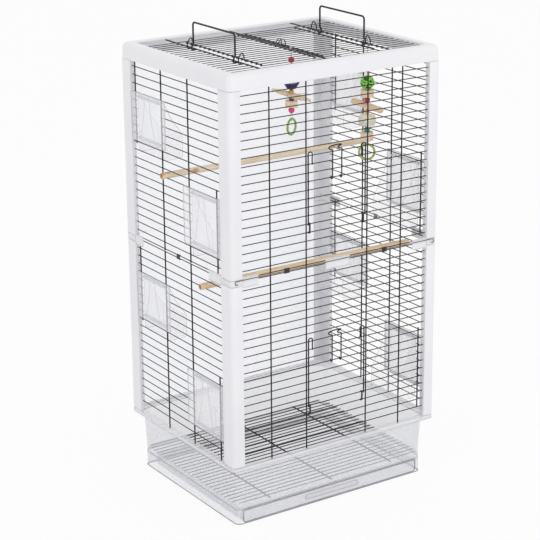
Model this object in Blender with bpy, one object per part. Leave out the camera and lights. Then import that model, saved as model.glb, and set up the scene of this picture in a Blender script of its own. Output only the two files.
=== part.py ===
"""Tabletop bird cage in two wire sections on a clear base with a drawer.

Metres, +Z up, front at -Y, origin at the middle of the base's underside.
"""
import math

import bmesh
import bpy
from mathutils import Matrix, Vector

# Overall outline, measured over the white posts
WIDTH = 0.456
DEPTH = 0.368
POST_FOOT_Z = 0.123
JOINT_Z = 0.473
JOINT_HEIGHT = 0.012
RING_FOOT_Z = 0.814
TOP_Z = 0.843
GAP = 0.0003

# Corner posts
POST_FRONT_LEAF = 0.024
POST_SIDE_LEAF = 0.034
POST_THICK = 0.007
POST_ROUND = 0.008
ROUND_STEPS = 3

# Wires
ROW_WIRE = 0.0016
UPRIGHT_WIRE = 0.0024
WIRE_PITCH = 0.0156
ROWS = 21
WIRE_SETBACK = 0.002
UPPER_ROW_Z = 0.8035
LOWER_ROW_Z = 0.456
JOINT_WIRES_Z = 0.476
JOINT_ROW_RISE = 0.004
FRONT_UPRIGHTS = (0.144, 0.067)
SIDE_UPRIGHTS = (0.137, 0.0455)
OVERRUN = 0.0022

# Feeder openings, counted in rows from the top of a section
REAR_OPENING = (3, 9)
FRONT_OPENING = (12, 19)
FEEDER_PLATE_INNER = 0.062
FEEDER_PLATE_GAP = 0.0008
FEEDER_WALL = 0.002
FEEDER_REACH = 0.042
FEEDER_DROP = 0.018
FEEDER_LIP = 0.025
FEEDER_SIDE_GAP = 0.0012

# Front doors
DOOR_TOP_ROW = 7
DOOR_FOOT_ROW = 17
DOOR_GAP = 0.0008
DOOR_OVERRUN = 0.0014
DOOR_HOOK_RADIUS = 0.0045
DOOR_HOOK_LEG = 0.018
HINGE_WALL = 0.0013
HINGE_WIDTH = 0.004
HINGE_OFFSET = 0.056
LATCH_WIRE = 0.0018
LATCH_HALF = 0.010
LATCH_ROW = 11
LATCH_BEND = 0.0032

# Joint between the sections
ARM_THICK = 0.0017
ARM_HALF_HEIGHT = 0.010
FRONT_ARM = 0.057
SIDE_FRONT_ARM = 0.084
SIDE_REAR_ARM = 0.057
CENTRE_CLIP_HALF = 0.027
ROD_WIRE = 0.0012
ROD_Z = 0.478
CLIP_OFFSET = 0.108
CLIP_WALL = 0.0012
CLIP_WIDTH = 0.009

# Top ring and roof
RING_RIM = 0.020
RING_WALL = 0.003
ROOF_PITCH = 0.0155
ROOF_ROWS = 19
ROOF_FACE_Z = 0.8372
HATCH_HINGE_X = 0.140
HATCH_OUTER_X = 0.121
HATCH_INNER_X = 0.008
HANDLE_WIRE = 0.0034
HANDLE_SLOT = 4.5
HANDLE_RISE = 0.048
ARCH_SLOT = 5.5
ARCH_RISE = 0.016
HANDLE_BEND = 0.006
BAIL_HALF = 0.0065
BAIL_RISE = 0.011

# Base tray, drawer and floor grate
RIM_OUT = 0.0015
RIM_HEIGHT = 0.008
SKIRT_INSET = 0.0085
SKIRT_FOOT_INSET = 0.0125
SKIRT_FOOT_Z = 0.042
HOUSING_INSET = 0.0165
HOUSING_TOP_Z = 0.031
TRAY_WALL = 0.0025
DRAWER_HALF = 0.199
DRAWER_FOOT_Z = 0.0032
DRAWER_TOP_Z = 0.0285
DRAWER_WALL = 0.002
DRAWER_LENGTH = 0.312
SLOT_HALF = 0.060
SLOT_HEIGHT = 0.009
GRATE_ROWS = 26
GRATE_OVERHANG = 0.0074
GRATE_WIRE = 0.0020
GRATE_INSET = 0.0166
GRATE_CORNER = 0.024

# Back sheets
SHEET_THICK = 0.002
SHEET_SETBACK = 0.0025
SHEET_BORDER = 0.012
SHEET_RECESS = 0.0006

# Perches
PERCH_RADIUS = 0.006
PERCH_TAIL = 0.006
PERCH_HALF = WIDTH / 2 + PERCH_TAIL
PERCH_NOTCH = 0.0034
UPPER_PERCH_ROW = 12
UPPER_PERCH_Y = 0.036
LOWER_PERCH_ROW = 1
LOWER_PERCH_Y = -0.090

# Hanging toys
LEFT_TOY_X = 0.0
RIGHT_TOY_INSET = 0.062
RIGHT_TOY_X = WIDTH / 2 - RIGHT_TOY_INSET
STRING_RADIUS = 0.0009
BEAD_RADIUS = 0.0058
RING_RADIUS = 0.0145
RING_TUBE = 0.0022
EYE_GAP = 0.0006
EYE_STEP = 52.5
BALL_RADIUS = 0.0135
SLAT_TURN = math.radians(-33)

# Distances down from the wire that a toy hangs on
LEFT_FOOT = 0.1255
LEFT_BEADS = (0.1130, 0.0920, 0.0780, 0.0200)
LEFT_BLOCK = 0.1010
LEFT_BLOCK_HALF = 0.0110
LEFT_BLOCK_TALL = 0.0115
LEAF_DROP = 0.0849
LEAF_LENGTH = 0.076
LEAF_WIDTH = 0.016
LEAF_THICK = 0.0034
FRINGE_DROP = 0.0674
FRINGE_RADII = (0.0085, 0.0115, 0.0145)
FRINGE_HEIGHTS = (-0.0055, -0.001, 0.0055)
RIGHT_FOOT = 0.1945
RIGHT_BEADS = (0.1700, 0.1348, 0.1121)
RIGHT_BLOCKS = (0.1815, 0.1000)
RIGHT_BLOCK_HALF = 0.0115
RIGHT_BLOCK_TALLS = (0.0140, 0.0130)
STICK_DROP = 0.1238
STICK_LENGTH = 0.064
STICK_WIDTH = 0.015
STICK_THICK = 0.0040
LOOFAH_DROP = 0.1516
LOOFAH_RADII = (0.0120, 0.0165, 0.0172, 0.0125)
LOOFAH_HEIGHTS = (-0.0110, -0.0060, 0.0040, 0.0105)
BALL_DROP = 0.0795

COLOURS = {
    "white_plastic": ((0.86, 0.86, 0.88, 1), 0.35, 0.0),
    "clear_plastic": ((0.72, 0.73, 0.79, 1), 0.12, 0.0),
    "back_sheet": ((0.83, 0.83, 0.88, 1), 0.4, 0.0),
    "dark_wire": ((0.055, 0.055, 0.062, 1), 0.42, 0.6),
    "wood": ((0.78, 0.58, 0.34, 1), 0.6, 0.0),
    "straw": ((0.82, 0.70, 0.45, 1), 0.8, 0.0),
    "loofah": ((0.86, 0.80, 0.62, 1), 0.9, 0.0),
    "green_vine": ((0.14, 0.47, 0.03, 1), 0.6, 0.0),
    "green_ring": ((0.22, 0.38, 0.04, 1), 0.35, 0.0),
    "purple_fringe": ((0.05, 0.02, 0.12, 1), 0.5, 0.0),
    "toy_beads": ((0.60, 0.05, 0.10, 1), 0.35, 0.0),
}


def material(name):
    """Returns the shared Principled material of that name."""
    mat = bpy.data.materials.get(name)
    if mat is None:
        colour, rough, metal = COLOURS[name]
        mat = bpy.data.materials.new(name)
        mat.use_nodes = True
        shader = mat.node_tree.nodes["Principled BSDF"]
        shader.inputs["Base Color"].default_value = colour
        shader.inputs["Roughness"].default_value = rough
        shader.inputs["Metallic"].default_value = metal
    return mat


def solid(name, verts, faces, mat, place=None):
    """Makes one object from points and faces, its origin at place's origin."""
    mesh = bpy.data.meshes.new(name)
    mesh.from_pydata([tuple(v) for v in verts], [], faces)
    shape = bmesh.new()
    shape.from_mesh(mesh)
    bmesh.ops.recalc_face_normals(shape, faces=shape.faces)
    shape.to_mesh(mesh)
    shape.free()
    mesh.materials.append(material(mat))
    obj = bpy.data.objects.new(name, mesh)
    bpy.context.scene.collection.objects.link(obj)
    if place is not None:
        obj.matrix_world = place
    return obj


def helper(name, verts, faces, mat, place=None):
    """Makes an object that only feeds a Boolean."""
    obj = solid(name, verts, faces, mat, place)
    obj.hide_render = True
    obj.display_type = "WIRE"
    return obj


def combine(obj, other, operation):
    """Adds an exact Boolean of the given kind."""
    mod = obj.modifiers.new(operation.title(), "BOOLEAN")
    mod.operation = operation
    mod.solver = "EXACT"
    mod.object = other


def box_mesh(low, high):
    """Points and faces of an upright box."""
    verts = [(x, y, z) for z in (low[2], high[2]) for y in (low[1], high[1]) for x in (low[0], high[0])]
    faces = [(0, 2, 3, 1), (4, 5, 7, 6), (0, 1, 5, 4), (2, 6, 7, 3), (0, 4, 6, 2), (1, 3, 7, 5)]
    return verts, faces


def loft_mesh(loops):
    """Bridges equal loops of points, given counter-clockwise seen from the last one, and caps the ends."""
    count = len(loops[0])
    verts = [p for loop in loops for p in loop]
    faces = [tuple(reversed(range(count)))]
    for row in range(len(loops) - 1):
        for i in range(count):
            j = (i + 1) % count
            faces.append((row * count + i, row * count + j, (row + 1) * count + j, (row + 1) * count + i))
    faces.append(tuple(range((len(loops) - 1) * count, len(loops) * count)))
    return verts, faces


def ring_mesh(loops):
    """Bridges equal loops in a closed cycle, with no caps."""
    count = len(loops[0])
    verts = [p for loop in loops for p in loop]
    faces = []
    for row in range(len(loops)):
        nxt = (row + 1) % len(loops)
        for i in range(count):
            j = (i + 1) % count
            faces.append((row * count + i, row * count + j, nxt * count + j, nxt * count + i))
    return verts, faces


def rounded_loop(half_x, half_y, radius, z, steps=ROUND_STEPS):
    """A rounded rectangle, counter-clockwise seen from above."""
    points = []
    for corner, (sx, sy) in enumerate(((1, 1), (-1, 1), (-1, -1), (1, -1))):
        for k in range(steps + 1):
            angle = math.radians(90 * corner + 90 * k / steps)
            x = sx * (half_x - radius) + radius * math.cos(angle)
            y = sy * (half_y - radius) + radius * math.sin(angle)
            points.append((x, y, z))
    return points


def inset_loop(inset, radius, z, steps=ROUND_STEPS):
    """A rounded rectangle that lies the given distance inside the posts' outer faces."""
    return rounded_loop(WIDTH / 2 - inset, DEPTH / 2 - inset, radius, z, steps)


def prism_mesh(outline, low, high):
    """Extrudes a counter-clockwise outline along Z."""
    return loft_mesh([[(x, y, low) for x, y in outline], [(x, y, high) for x, y in outline]])


def tube_mesh(path, radius, sides):
    """Sweeps a regular polygon along a path of points and caps the ends."""
    points = [Vector(p) for p in path]
    count = len(points)
    tangents = []
    for i in range(count):
        before = points[i] - points[i - 1] if i else points[1] - points[0]
        after = points[i + 1] - points[i] if i < count - 1 else before
        tangents.append((before.normalized() + after.normalized()).normalized())
    normal = tangents[0].orthogonal().normalized()
    loops = []
    for i in range(count):
        if i:
            normal = tangents[i - 1].rotation_difference(tangents[i]) @ normal
        side = tangents[i].cross(normal)
        loop = []
        for k in range(sides):
            angle = 2 * math.pi * (k + 0.5) / sides
            loop.append(points[i] + radius * (math.cos(angle) * normal + math.sin(angle) * side))
        loops.append(loop)
    return loft_mesh(loops)


def arc_path(centre, radius, start, end, steps, across, up):
    """Points on an arc in the plane of the vectors across and up."""
    points = []
    for k in range(steps + 1):
        angle = math.radians(start + (end - start) * k / steps)
        spoke = math.cos(angle) * Vector(across) + math.sin(angle) * Vector(up)
        points.append(Vector(centre) + radius * spoke)
    return points


def hook_path(centre, reach, start, end, steps, across, up=(0, 0, 1)):
    """Points round a wire at the centre, whose straight runs stay outside the given reach."""
    corner = reach / math.cos(math.radians(abs(end - start) / steps / 2))
    return arc_path(centre, corner, start, end, steps, across, up)


HEX_REACH = UPRIGHT_WIRE / math.sqrt(3)
ROW_REACH = ROW_WIRE / math.sqrt(2)


def fan(faces, low, high, line):
    """Triangulates the strip between an edge low-high and a line of points that runs beside it."""
    middle = len(line) // 2
    for a, b in zip(line[:middle], line[1:middle + 1]):
        faces.append((low, b, a))
    faces.append((low, high, line[middle]))
    for a, b in zip(line[middle:], line[middle + 1:]):
        faces.append((high, b, a))


def lattice_mesh(rows, uprights, row_wire=ROW_WIRE, upright_wire=UPRIGHT_WIRE):
    """A welded grille in the XY plane, the rows under z = 0 along X and the uprights above it along Y.

    rows holds (y, x0, x1) and uprights (x, y0, y1). Each crossing shares its contact face's corners,
    so that the grille is one closed body.
    """
    verts = []
    index = {}
    faces = []

    def point(x, y, z):
        key = (round(x, 6), round(y, 6), round(z, 6))
        if key not in index:
            index[key] = len(verts)
            verts.append((x, y, z))
        return index[key]

    side = upright_wire / math.sqrt(3)
    half_foot = side / 2
    half_row = row_wire / 2

    def meets(row, upright):
        y, x0, x1 = row
        x, y0, y1 = upright
        inside_row = x0 < x - half_foot - 1e-5 and x + half_foot + 1e-5 < x1
        return inside_row and y0 < y - half_row - 1e-5 and y + half_row + 1e-5 < y1

    for upright in uprights:
        x, y0, y1 = upright
        marks = sorted(row[0] for row in rows if meets(row, upright))
        cuts = [y0] + [value for y in marks for value in (y - half_row, y + half_row)] + [y1]
        left = [point(x - half_foot, y, 0) for y in cuts]
        right = [point(x + half_foot, y, 0) for y in cuts]
        for k in range(0, len(cuts), 2):
            faces.append((left[k], left[k + 1], right[k + 1], right[k]))
        outer = [(x + side, upright_wire / 2), (x + half_foot, upright_wire)]
        outer += [(x - half_foot, upright_wire), (x - side, upright_wire / 2)]
        low = [point(px, y0, pz) for px, pz in outer]
        high = [point(px, y1, pz) for px, pz in outer]
        for k in range(3):
            faces.append((low[k], high[k], high[k + 1], low[k + 1]))
        fan(faces, high[0], low[0], list(reversed(right)))
        fan(faces, low[3], high[3], left)
        faces.append((left[0], right[0], low[0], low[1], low[2], low[3]))
        faces.append((right[-1], left[-1], high[3], high[2], high[1], high[0]))
    for row in rows:
        y, x0, x1 = row
        marks = sorted(up[0] for up in uprights if meets(row, up))
        cuts = [x0] + [value for x in marks for value in (x - half_foot, x + half_foot)] + [x1]
        near = [point(x, y - half_row, 0) for x in cuts]
        far = [point(x, y + half_row, 0) for x in cuts]
        for k in range(0, len(cuts), 2):
            faces.append((near[k], near[k + 1], far[k + 1], far[k]))
        low = [point(x, y - half_row, -row_wire) for x in (x0, x1)]
        high = [point(x, y + half_row, -row_wire) for x in (x0, x1)]
        faces.append((low[0], high[0], high[1], low[1]))
        fan(faces, low[1], low[0], list(reversed(near)))
        fan(faces, high[0], high[1], far)
        faces.append((near[0], far[0], high[0], low[0]))
        faces.append((far[-1], near[-1], low[1], high[1]))
    return verts, faces


def wall_place(angle, distance, z=0.0):
    """Stands a lattice up as a wall, facing out; the angle is 0 for the front, -90 left, 90 right."""
    turn = Matrix.Rotation(math.radians(angle), 4, "Z")
    stand = Matrix.Rotation(math.radians(90), 4, "X")
    return turn @ Matrix.Translation((0, -distance, z)) @ stand


WIRE_PLANE = WIRE_SETBACK + UPRIGHT_WIRE
SECTIONS = {
    "upper": {"row": UPPER_ROW_Z, "low": JOINT_Z + JOINT_HEIGHT / 2, "high": RING_FOOT_Z},
    "lower": {"row": LOWER_ROW_Z, "low": POST_FOOT_Z, "high": JOINT_Z - JOINT_HEIGHT / 2},
}


def row_z(section, number):
    """Height of a row of the section, counted from its top."""
    return SECTIONS[section]["row"] - number * WIRE_PITCH


def joint_row_z(section):
    """Height of the section's edge wire beside the joint."""
    return JOINT_WIRES_Z + (JOINT_ROW_RISE if section == "upper" else -JOINT_ROW_RISE)


def section_span(section):
    """Lowest and highest point of the section's uprights."""
    edge = joint_row_z(section)
    if section == "upper":
        return edge - OVERRUN, SECTIONS[section]["high"] - GAP
    return SECTIONS[section]["low"] + GAP, edge + OVERRUN


def front_panel(section):
    """The front grille of a section, open where its door is."""
    half = WIDTH / 2 - POST_FRONT_LEAF - GAP
    inner = FRONT_UPRIGHTS[1]
    rows = [(joint_row_z(section), -half, half)]
    for number in range(ROWS):
        z = row_z(section, number)
        if DOOR_TOP_ROW < number < DOOR_FOOT_ROW:
            rows += [(z, -half, -inner + OVERRUN), (z, inner - OVERRUN, half)]
        else:
            rows.append((z, -half, half))
    low, high = section_span(section)
    uprights = [(s * x, low, high) for x in FRONT_UPRIGHTS for s in (-1, 1)]
    verts, faces = lattice_mesh(rows, uprights)
    solid(section + "_front_wires", verts, faces, "dark_wire", wall_place(0, DEPTH / 2 - WIRE_PLANE))


def side_panel(section, side):
    """A side grille with a rear and a front feeder opening."""
    half = DEPTH / 2 - POST_SIDE_LEAF - GAP
    outer, inner = SIDE_UPRIGHTS
    front = 1 if side == "left" else -1
    rows = [(joint_row_z(section), -half, half)]
    for number in range(ROWS):
        z = row_z(section, number)
        cut = 0
        if REAR_OPENING[0] < number < REAR_OPENING[1]:
            cut = -front
        if FRONT_OPENING[0] < number < FRONT_OPENING[1]:
            cut = front
        if cut:
            ends = sorted((-cut * half, cut * (inner + OVERRUN)))
            rest = sorted((cut * (outer - OVERRUN), cut * half))
            rows += [(z, ends[0], ends[1]), (z, rest[0], rest[1])]
        else:
            rows.append((z, -half, half))
    low, high = section_span(section)
    uprights = [(-inner, low, high), (inner, low, high)]
    uprights.append((-front * outer, row_z(section, REAR_OPENING[1]) - OVERRUN, high))
    uprights.append((front * outer, low, row_z(section, FRONT_OPENING[0] - 1) + OVERRUN))
    verts, faces = lattice_mesh(rows, uprights)
    angle = -90 if side == "left" else 90
    name = section + "_" + side + "_wires"
    solid(name, verts, faces, "dark_wire", wall_place(angle, WIDTH / 2 - WIRE_PLANE))


def post_outline(sx, sy):
    """An angle section with a rounded outer corner, counter-clockwise."""
    points = [(POST_FRONT_LEAF, 0), (POST_FRONT_LEAF, POST_THICK), (POST_THICK, POST_THICK)]
    points += [(POST_THICK, POST_SIDE_LEAF), (0, POST_SIDE_LEAF)]
    for k in range(ROUND_STEPS + 2):
        angle = math.radians(180 + 90 * k / (ROUND_STEPS + 1))
        points.append((POST_ROUND * (1 + math.cos(angle)), POST_ROUND * (1 + math.sin(angle))))
    placed = [(sx * (WIDTH / 2 - x), sy * (DEPTH / 2 - y)) for x, y in points]
    return placed if sx * sy > 0 else placed[::-1]


def posts():
    """Four angle posts for each section."""
    for section, data in SECTIONS.items():
        for side, sx in (("left", -1), ("right", 1)):
            for end, sy in (("front", -1), ("rear", 1)):
                verts, faces = prism_mesh(post_outline(sx, sy), data["low"] + GAP, data["high"] - GAP)
                solid(section + "_post_" + end + "_" + side, verts, faces, "white_plastic")


def back_sheets():
    """A solid sheet with a raised border closes the back of each section."""
    half = WIDTH / 2 - POST_FRONT_LEAF - GAP
    back = DEPTH / 2 - SHEET_SETBACK
    for section, data in SECTIONS.items():
        low, high = data["low"] + GAP, data["high"] - GAP
        outer = box_mesh((-half, back - SHEET_THICK, low), (half, back, high))
        sheet = solid(section + "_back_sheet", outer[0], outer[1], "back_sheet")
        near = (-half + SHEET_BORDER, back - SHEET_RECESS, low + SHEET_BORDER)
        field = box_mesh(near, (half - SHEET_BORDER, back + 0.01, high - SHEET_BORDER))
        combine(sheet, helper("cut_" + section + "_sheet", field[0], field[1], "back_sheet"), "DIFFERENCE")


def feeder(section, side, end):
    """A clear feeder: an outer plate, and a cup with side cheeks inside the wires."""
    first, last = REAR_OPENING if end == "rear" else FRONT_OPENING
    low, high = row_z(section, last), row_z(section, first)
    tall = high - low
    outer, inner = SIDE_UPRIGHTS
    centre = (outer + inner) / 2 * (1 if end == "rear" else -1)
    half = (outer - inner) / 2 - HEX_REACH - FEEDER_SIDE_GAP
    near = ROW_WIRE / 2 + 0.0008
    reach, drop, lip = FEEDER_REACH, -FEEDER_DROP, FEEDER_LIP
    top = tall - ROW_WIRE
    cheek = [(near, drop + 0.004), (near + 0.006, drop), (reach - 0.006, drop), (reach, drop + 0.006)]
    cheek += [(reach, lip), (reach * 0.48, top * 0.62), (near + FEEDER_WALL, top), (near, top)]
    verts, faces = prism_mesh(cheek, -half, half)
    sign = -1 if side == "left" else 1
    centre_plane = WIDTH / 2 - WIRE_PLANE - ROW_WIRE / 2
    # The outline's x runs into the cage, its y runs up, and it is extruded along the wall.
    across = (-sign, 0, 0, sign * centre_plane)
    turn = Matrix((across, (0, 0, sign, centre), (0, 1, 0, low), (0, 0, 0, 1)))
    name = "_".join(("feeder", section, side, end))
    cup = solid(name, verts, faces, "clear_plastic", turn)
    wall = FEEDER_WALL
    floor, back = drop + wall, near + wall
    hollow = [(back, floor + 0.003), (back + 0.004, floor), (reach - wall - 0.005, floor)]
    hollow += [(reach - wall, floor + 0.005), (reach - wall, lip + 0.0005), (reach + 0.01, lip + 0.0006)]
    hollow += [(reach + 0.01, top + 0.01), (back, top + 0.01)]
    inside = prism_mesh(hollow, -half + wall, half - wall)
    combine(cup, helper("cut_" + name, inside[0], inside[1], "clear_plastic", turn), "DIFFERENCE")
    front = -(UPRIGHT_WIRE + ROW_WIRE / 2 + GAP)
    edge = 0.004
    away = sign if end == "rear" else -sign
    outward = DEPTH / 2 - POST_SIDE_LEAF - FEEDER_PLATE_GAP - (outer + inner) / 2
    reaches = {away: outward, -away: FEEDER_PLATE_INNER}
    outline = []
    for k, (su, sv) in enumerate(((1, 1), (-1, 1), (-1, -1), (1, -1))):
        for angle in (90 * k, 90 * k + 90):
            u = su * (reaches[su] - edge) + edge * math.cos(math.radians(angle))
            v = edge * math.sin(math.radians(angle))
            v += tall + 0.0025 - edge if sv > 0 else 0.0045 + edge
            outline.append((u, v))
    loops = [[(x, v, u) for u, v in outline] for x in (front, front - wall)]
    plate = loft_mesh(loops)
    combine(cup, helper("plate_" + name, plate[0], plate[1], "clear_plastic", turn), "UNION")
    for k, height in enumerate((0.009, top - 0.006)):
        near_end = (front - wall / 2, height, -half + wall)
        rib = box_mesh(near_end, (near + wall / 2, height + 0.003, half - wall))
        combine(cup, helper("rib%d_" % k + name, rib[0], rib[1], "clear_plastic", turn), "UNION")
    return cup


def door(section):
    """A wire door that folds down on its foot, with the tops of its edge wires bent back as hooks."""
    foot_z = row_z(section, DOOR_FOOT_ROW)
    plane = DEPTH / 2 - WIRE_PLANE
    axis_y = -plane + ROW_WIRE / 2
    half = FRONT_UPRIGHTS[1] - UPRIGHT_WIRE - DOOR_GAP
    edge = half - DOOR_OVERRUN
    rows = []
    for number in range(DOOR_TOP_ROW + 1, DOOR_FOOT_ROW):
        rows.append((row_z(section, number) - foot_z, -half, half))
    low = rows[-1][0] - OVERRUN
    high = rows[0][0] + OVERRUN
    uprights = [(-edge, low, high), (edge, low, high)]
    verts, faces = lattice_mesh(rows, uprights)
    # The lattice lies one half wire in front of the hinge axis.
    stand = Matrix.Rotation(math.radians(90), 4, "X")
    offset = Matrix.Translation((0, 0, ROW_WIRE / 2))
    verts = [stand @ offset @ Vector(v) for v in verts]
    place = Matrix.Translation((0, axis_y, foot_z))
    leaf = solid(section + "_door", verts, faces, "dark_wire", place)
    hole, wall, seat = ROW_REACH + GAP, HINGE_WALL, rows[-1][0]
    rim = hole + wall
    for k, s in enumerate((-1, 1)):
        x0, x1 = s * HINGE_OFFSET - HINGE_WIDTH / 2, s * HINGE_OFFSET + HINGE_WIDTH / 2
        outline = [(-rim, -rim), (rim, -rim), (rim, hole), (hole, hole)]
        outline += [(hole, -hole), (-hole, -hole), (-hole, seat - ROW_WIRE), (0.0002, seat - ROW_WIRE)]
        outline += [(0.0002, seat + 0.0004), (-rim, seat + 0.0004)]
        eye = loft_mesh([[(x, y, z) for y, z in outline] for x in (x0, x1)])
        combine(leaf, helper("eye%d_%s_door" % (k, section), eye[0], eye[1], "dark_wire", place), "UNION")
    front = -UPRIGHT_WIRE / 2 - ROW_WIRE / 2
    turn = DOOR_HOOK_RADIUS
    for k, s in enumerate((-1, 1)):
        path = [Vector((s * edge, front, high - 0.004)), Vector((s * edge, front, high - 0.0005))]
        path += arc_path((s * (edge - turn), front, high), turn, 0, 180, 6, (s, 0, 0), (0, 0, 1))
        path.append(Vector((s * (edge - 2 * turn), front, high - DOOR_HOOK_LEG)))
        hook = tube_mesh(path, UPRIGHT_WIRE * 0.42, 6)
        combine(leaf, helper("hook%d_%s_door" % (k, section), hook[0], hook[1], "dark_wire", place), "UNION")
    return leaf


def latch(section):
    """A sprung wire latch: two uprights from one row of the door, with a bent loop above its top row."""
    plane = DEPTH / 2 - WIRE_PLANE
    foot = row_z(section, LATCH_ROW)
    top = row_z(section, DOOR_TOP_ROW + 1) - foot
    radius = LATCH_WIRE / 2
    reach = ROW_REACH + GAP + radius
    half, front, out = LATCH_HALF, -reach, -reach - LATCH_BEND
    place = Matrix.Translation((0, -plane + ROW_WIRE / 2, foot))
    path = hook_path((-half, 0, 0), reach, 30, -150, 4, (0, 1, 0))
    path += [Vector((-half, front, top + 0.004)), Vector((-half - 0.007, out, top + 0.0055))]
    path += [Vector((-half - 0.0105, out, top + 0.0095)), Vector((-half - 0.003, out, top + 0.0125))]
    path += [Vector((half - 0.011, out, top + 0.0130)), Vector((half - 0.003, out, top + 0.0125))]
    path += [Vector((half - 0.010, out, top + 0.0095)), Vector((half - 0.008, out * 0.8, top + 0.006))]
    path.append(Vector((half, front, top + 0.004)))
    path += hook_path((half, 0, 0), reach, -150, 30, 4, (0, 1, 0))
    verts, faces = tube_mesh(path, radius, 5)
    return solid(section + "_door_latch", verts, faces, "dark_wire", place)


def joint_connectors():
    """Clear corner pieces with thin arms, and a centre piece, hold the two sections together."""
    low, high = JOINT_Z - JOINT_HEIGHT / 2 + GAP, JOINT_Z + JOINT_HEIGHT / 2 - GAP
    arm_low, arm_high = JOINT_Z - ARM_HALF_HEIGHT, JOINT_Z + ARM_HALF_HEIGHT
    for side, sx in (("left", -1), ("right", 1)):
        for end, sy in (("front", -1), ("rear", 1)):
            verts, faces = prism_mesh(post_outline(sx, sy), low, high)
            name = "joint_corner_" + end + "_" + side
            piece = solid(name, verts, faces, "clear_plastic")
            side_arm = SIDE_FRONT_ARM if end == "front" else SIDE_REAR_ARM
            x_out, y_out = sx * WIDTH / 2, sy * DEPTH / 2
            plates = [
                ((x_out - sx * (POST_FRONT_LEAF - 0.002), y_out - sy * ARM_THICK, low + 0.001),
                 (x_out - sx * (POST_FRONT_LEAF + 0.004), y_out, high - 0.001)),
                ((x_out - sx * (POST_FRONT_LEAF + 0.002), y_out - sy * ARM_THICK, arm_low),
                 (x_out - sx * FRONT_ARM, y_out, arm_high)),
                ((x_out - sx * ARM_THICK, y_out - sy * (POST_SIDE_LEAF - 0.002), low + 0.001),
                 (x_out, y_out - sy * (POST_SIDE_LEAF + 0.004), high - 0.001)),
                ((x_out - sx * ARM_THICK, y_out - sy * (POST_SIDE_LEAF + 0.002), arm_low),
                 (x_out, y_out - sy * side_arm, arm_high)),
            ]
            if end == "rear":
                plates = plates[2:]
            for k, (a, b) in enumerate(plates):
                corner = [min(a[i], b[i]) for i in range(3)], [max(a[i], b[i]) for i in range(3)]
                arm = box_mesh(*corner)
                combine(piece, helper("arm%d_%s" % (k, name), arm[0], arm[1], "clear_plastic"), "UNION")
    y = -DEPTH / 2
    centre = box_mesh((-CENTRE_CLIP_HALF, y, arm_low), (CENTRE_CLIP_HALF, y + ARM_THICK, arm_high))
    solid("joint_centre_clip", centre[0], centre[1], "clear_plastic")


def joint_wires():
    """A thin wire runs along the front joint, and four small clips grip the edge wires."""
    y = -DEPTH / 2 - GAP - ROD_WIRE / 2
    half = WIDTH / 2 - POST_ROUND
    path = [(-half, y, ROD_Z), (0, y, ROD_Z), (half, y, ROD_Z)]
    verts, faces = tube_mesh(path, ROD_WIRE / 2, 6)
    solid("joint_rod", verts, faces, "dark_wire")
    reach = JOINT_ROW_RISE + ROW_WIRE / 2 + GAP
    rim = reach + CLIP_WALL
    lip = -ROW_WIRE - GAP
    outline = [(lip, -rim), (GAP + CLIP_WALL, -rim), (GAP + CLIP_WALL, rim), (lip, rim)]
    outline += [(lip, reach), (GAP, reach), (GAP, -reach), (lip, -reach)]
    clips = (("front_left", 0, -CLIP_OFFSET), ("front_right", 0, CLIP_OFFSET))
    clips += (("left", -90, 0), ("right", 90, 0))
    for name, angle, shift in clips:
        distance = (DEPTH if angle == 0 else WIDTH) / 2 - WIRE_PLANE
        ends = (shift - CLIP_WIDTH / 2, shift + CLIP_WIDTH / 2)
        verts, faces = loft_mesh([[(u, v, n) for n, v in outline] for u in ends])
        place = wall_place(angle, distance, JOINT_WIRES_Z)
        solid("joint_clip_" + name, verts, faces, "dark_wire", place)


def top_ring():
    """The white ring: an outer wall, a rounded shoulder and a flat rim."""
    foot, top, wall = RING_FOOT_Z + GAP, TOP_Z, RING_WALL
    profile = [(0, foot), (0, top - 0.011), (0.0025, top - 0.0035), (0.008, top), (RING_RIM - 0.001, top)]
    profile += [(RING_RIM, top - 0.001), (RING_RIM, top - wall), (0.0085, top - wall)]
    profile += [(0.0048, top - 0.0062), (wall, top - 0.0115), (wall, foot)]
    loops = []
    for inset, z in profile:
        loops.append(inset_loop(inset, max(POST_ROUND + 0.004 - inset, 0.003), z))
    verts, faces = ring_mesh(loops)
    solid("top_ring", verts, faces, "white_plastic")


def roof_rows():
    """Positions of the roof's rows along Y, front to back."""
    return [(k - (ROOF_ROWS - 1) / 2) * ROOF_PITCH for k in range(ROOF_ROWS)]


def roof():
    """The fixed part of the roof grille: side strips, a centre wire and the end rows."""
    half_x = WIDTH / 2 - RING_RIM + 0.006
    ys = roof_rows()
    long_half = DEPTH / 2 - RING_RIM + 0.006
    rows = [(ys[0], -half_x, half_x), (ys[-1], -half_x, half_x)]
    for y in ys[1:-1]:
        rows += [(y, -half_x, -HATCH_HINGE_X + OVERRUN), (y, HATCH_HINGE_X - OVERRUN, half_x)]
    uprights = [(x, -long_half, long_half) for x in (-HATCH_HINGE_X, 0.0, HATCH_HINGE_X)]
    verts, faces = lattice_mesh(rows, uprights)
    solid("roof_grille", verts, faces, "dark_wire", Matrix.Translation((0, 0, ROOF_FACE_Z)))


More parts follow.
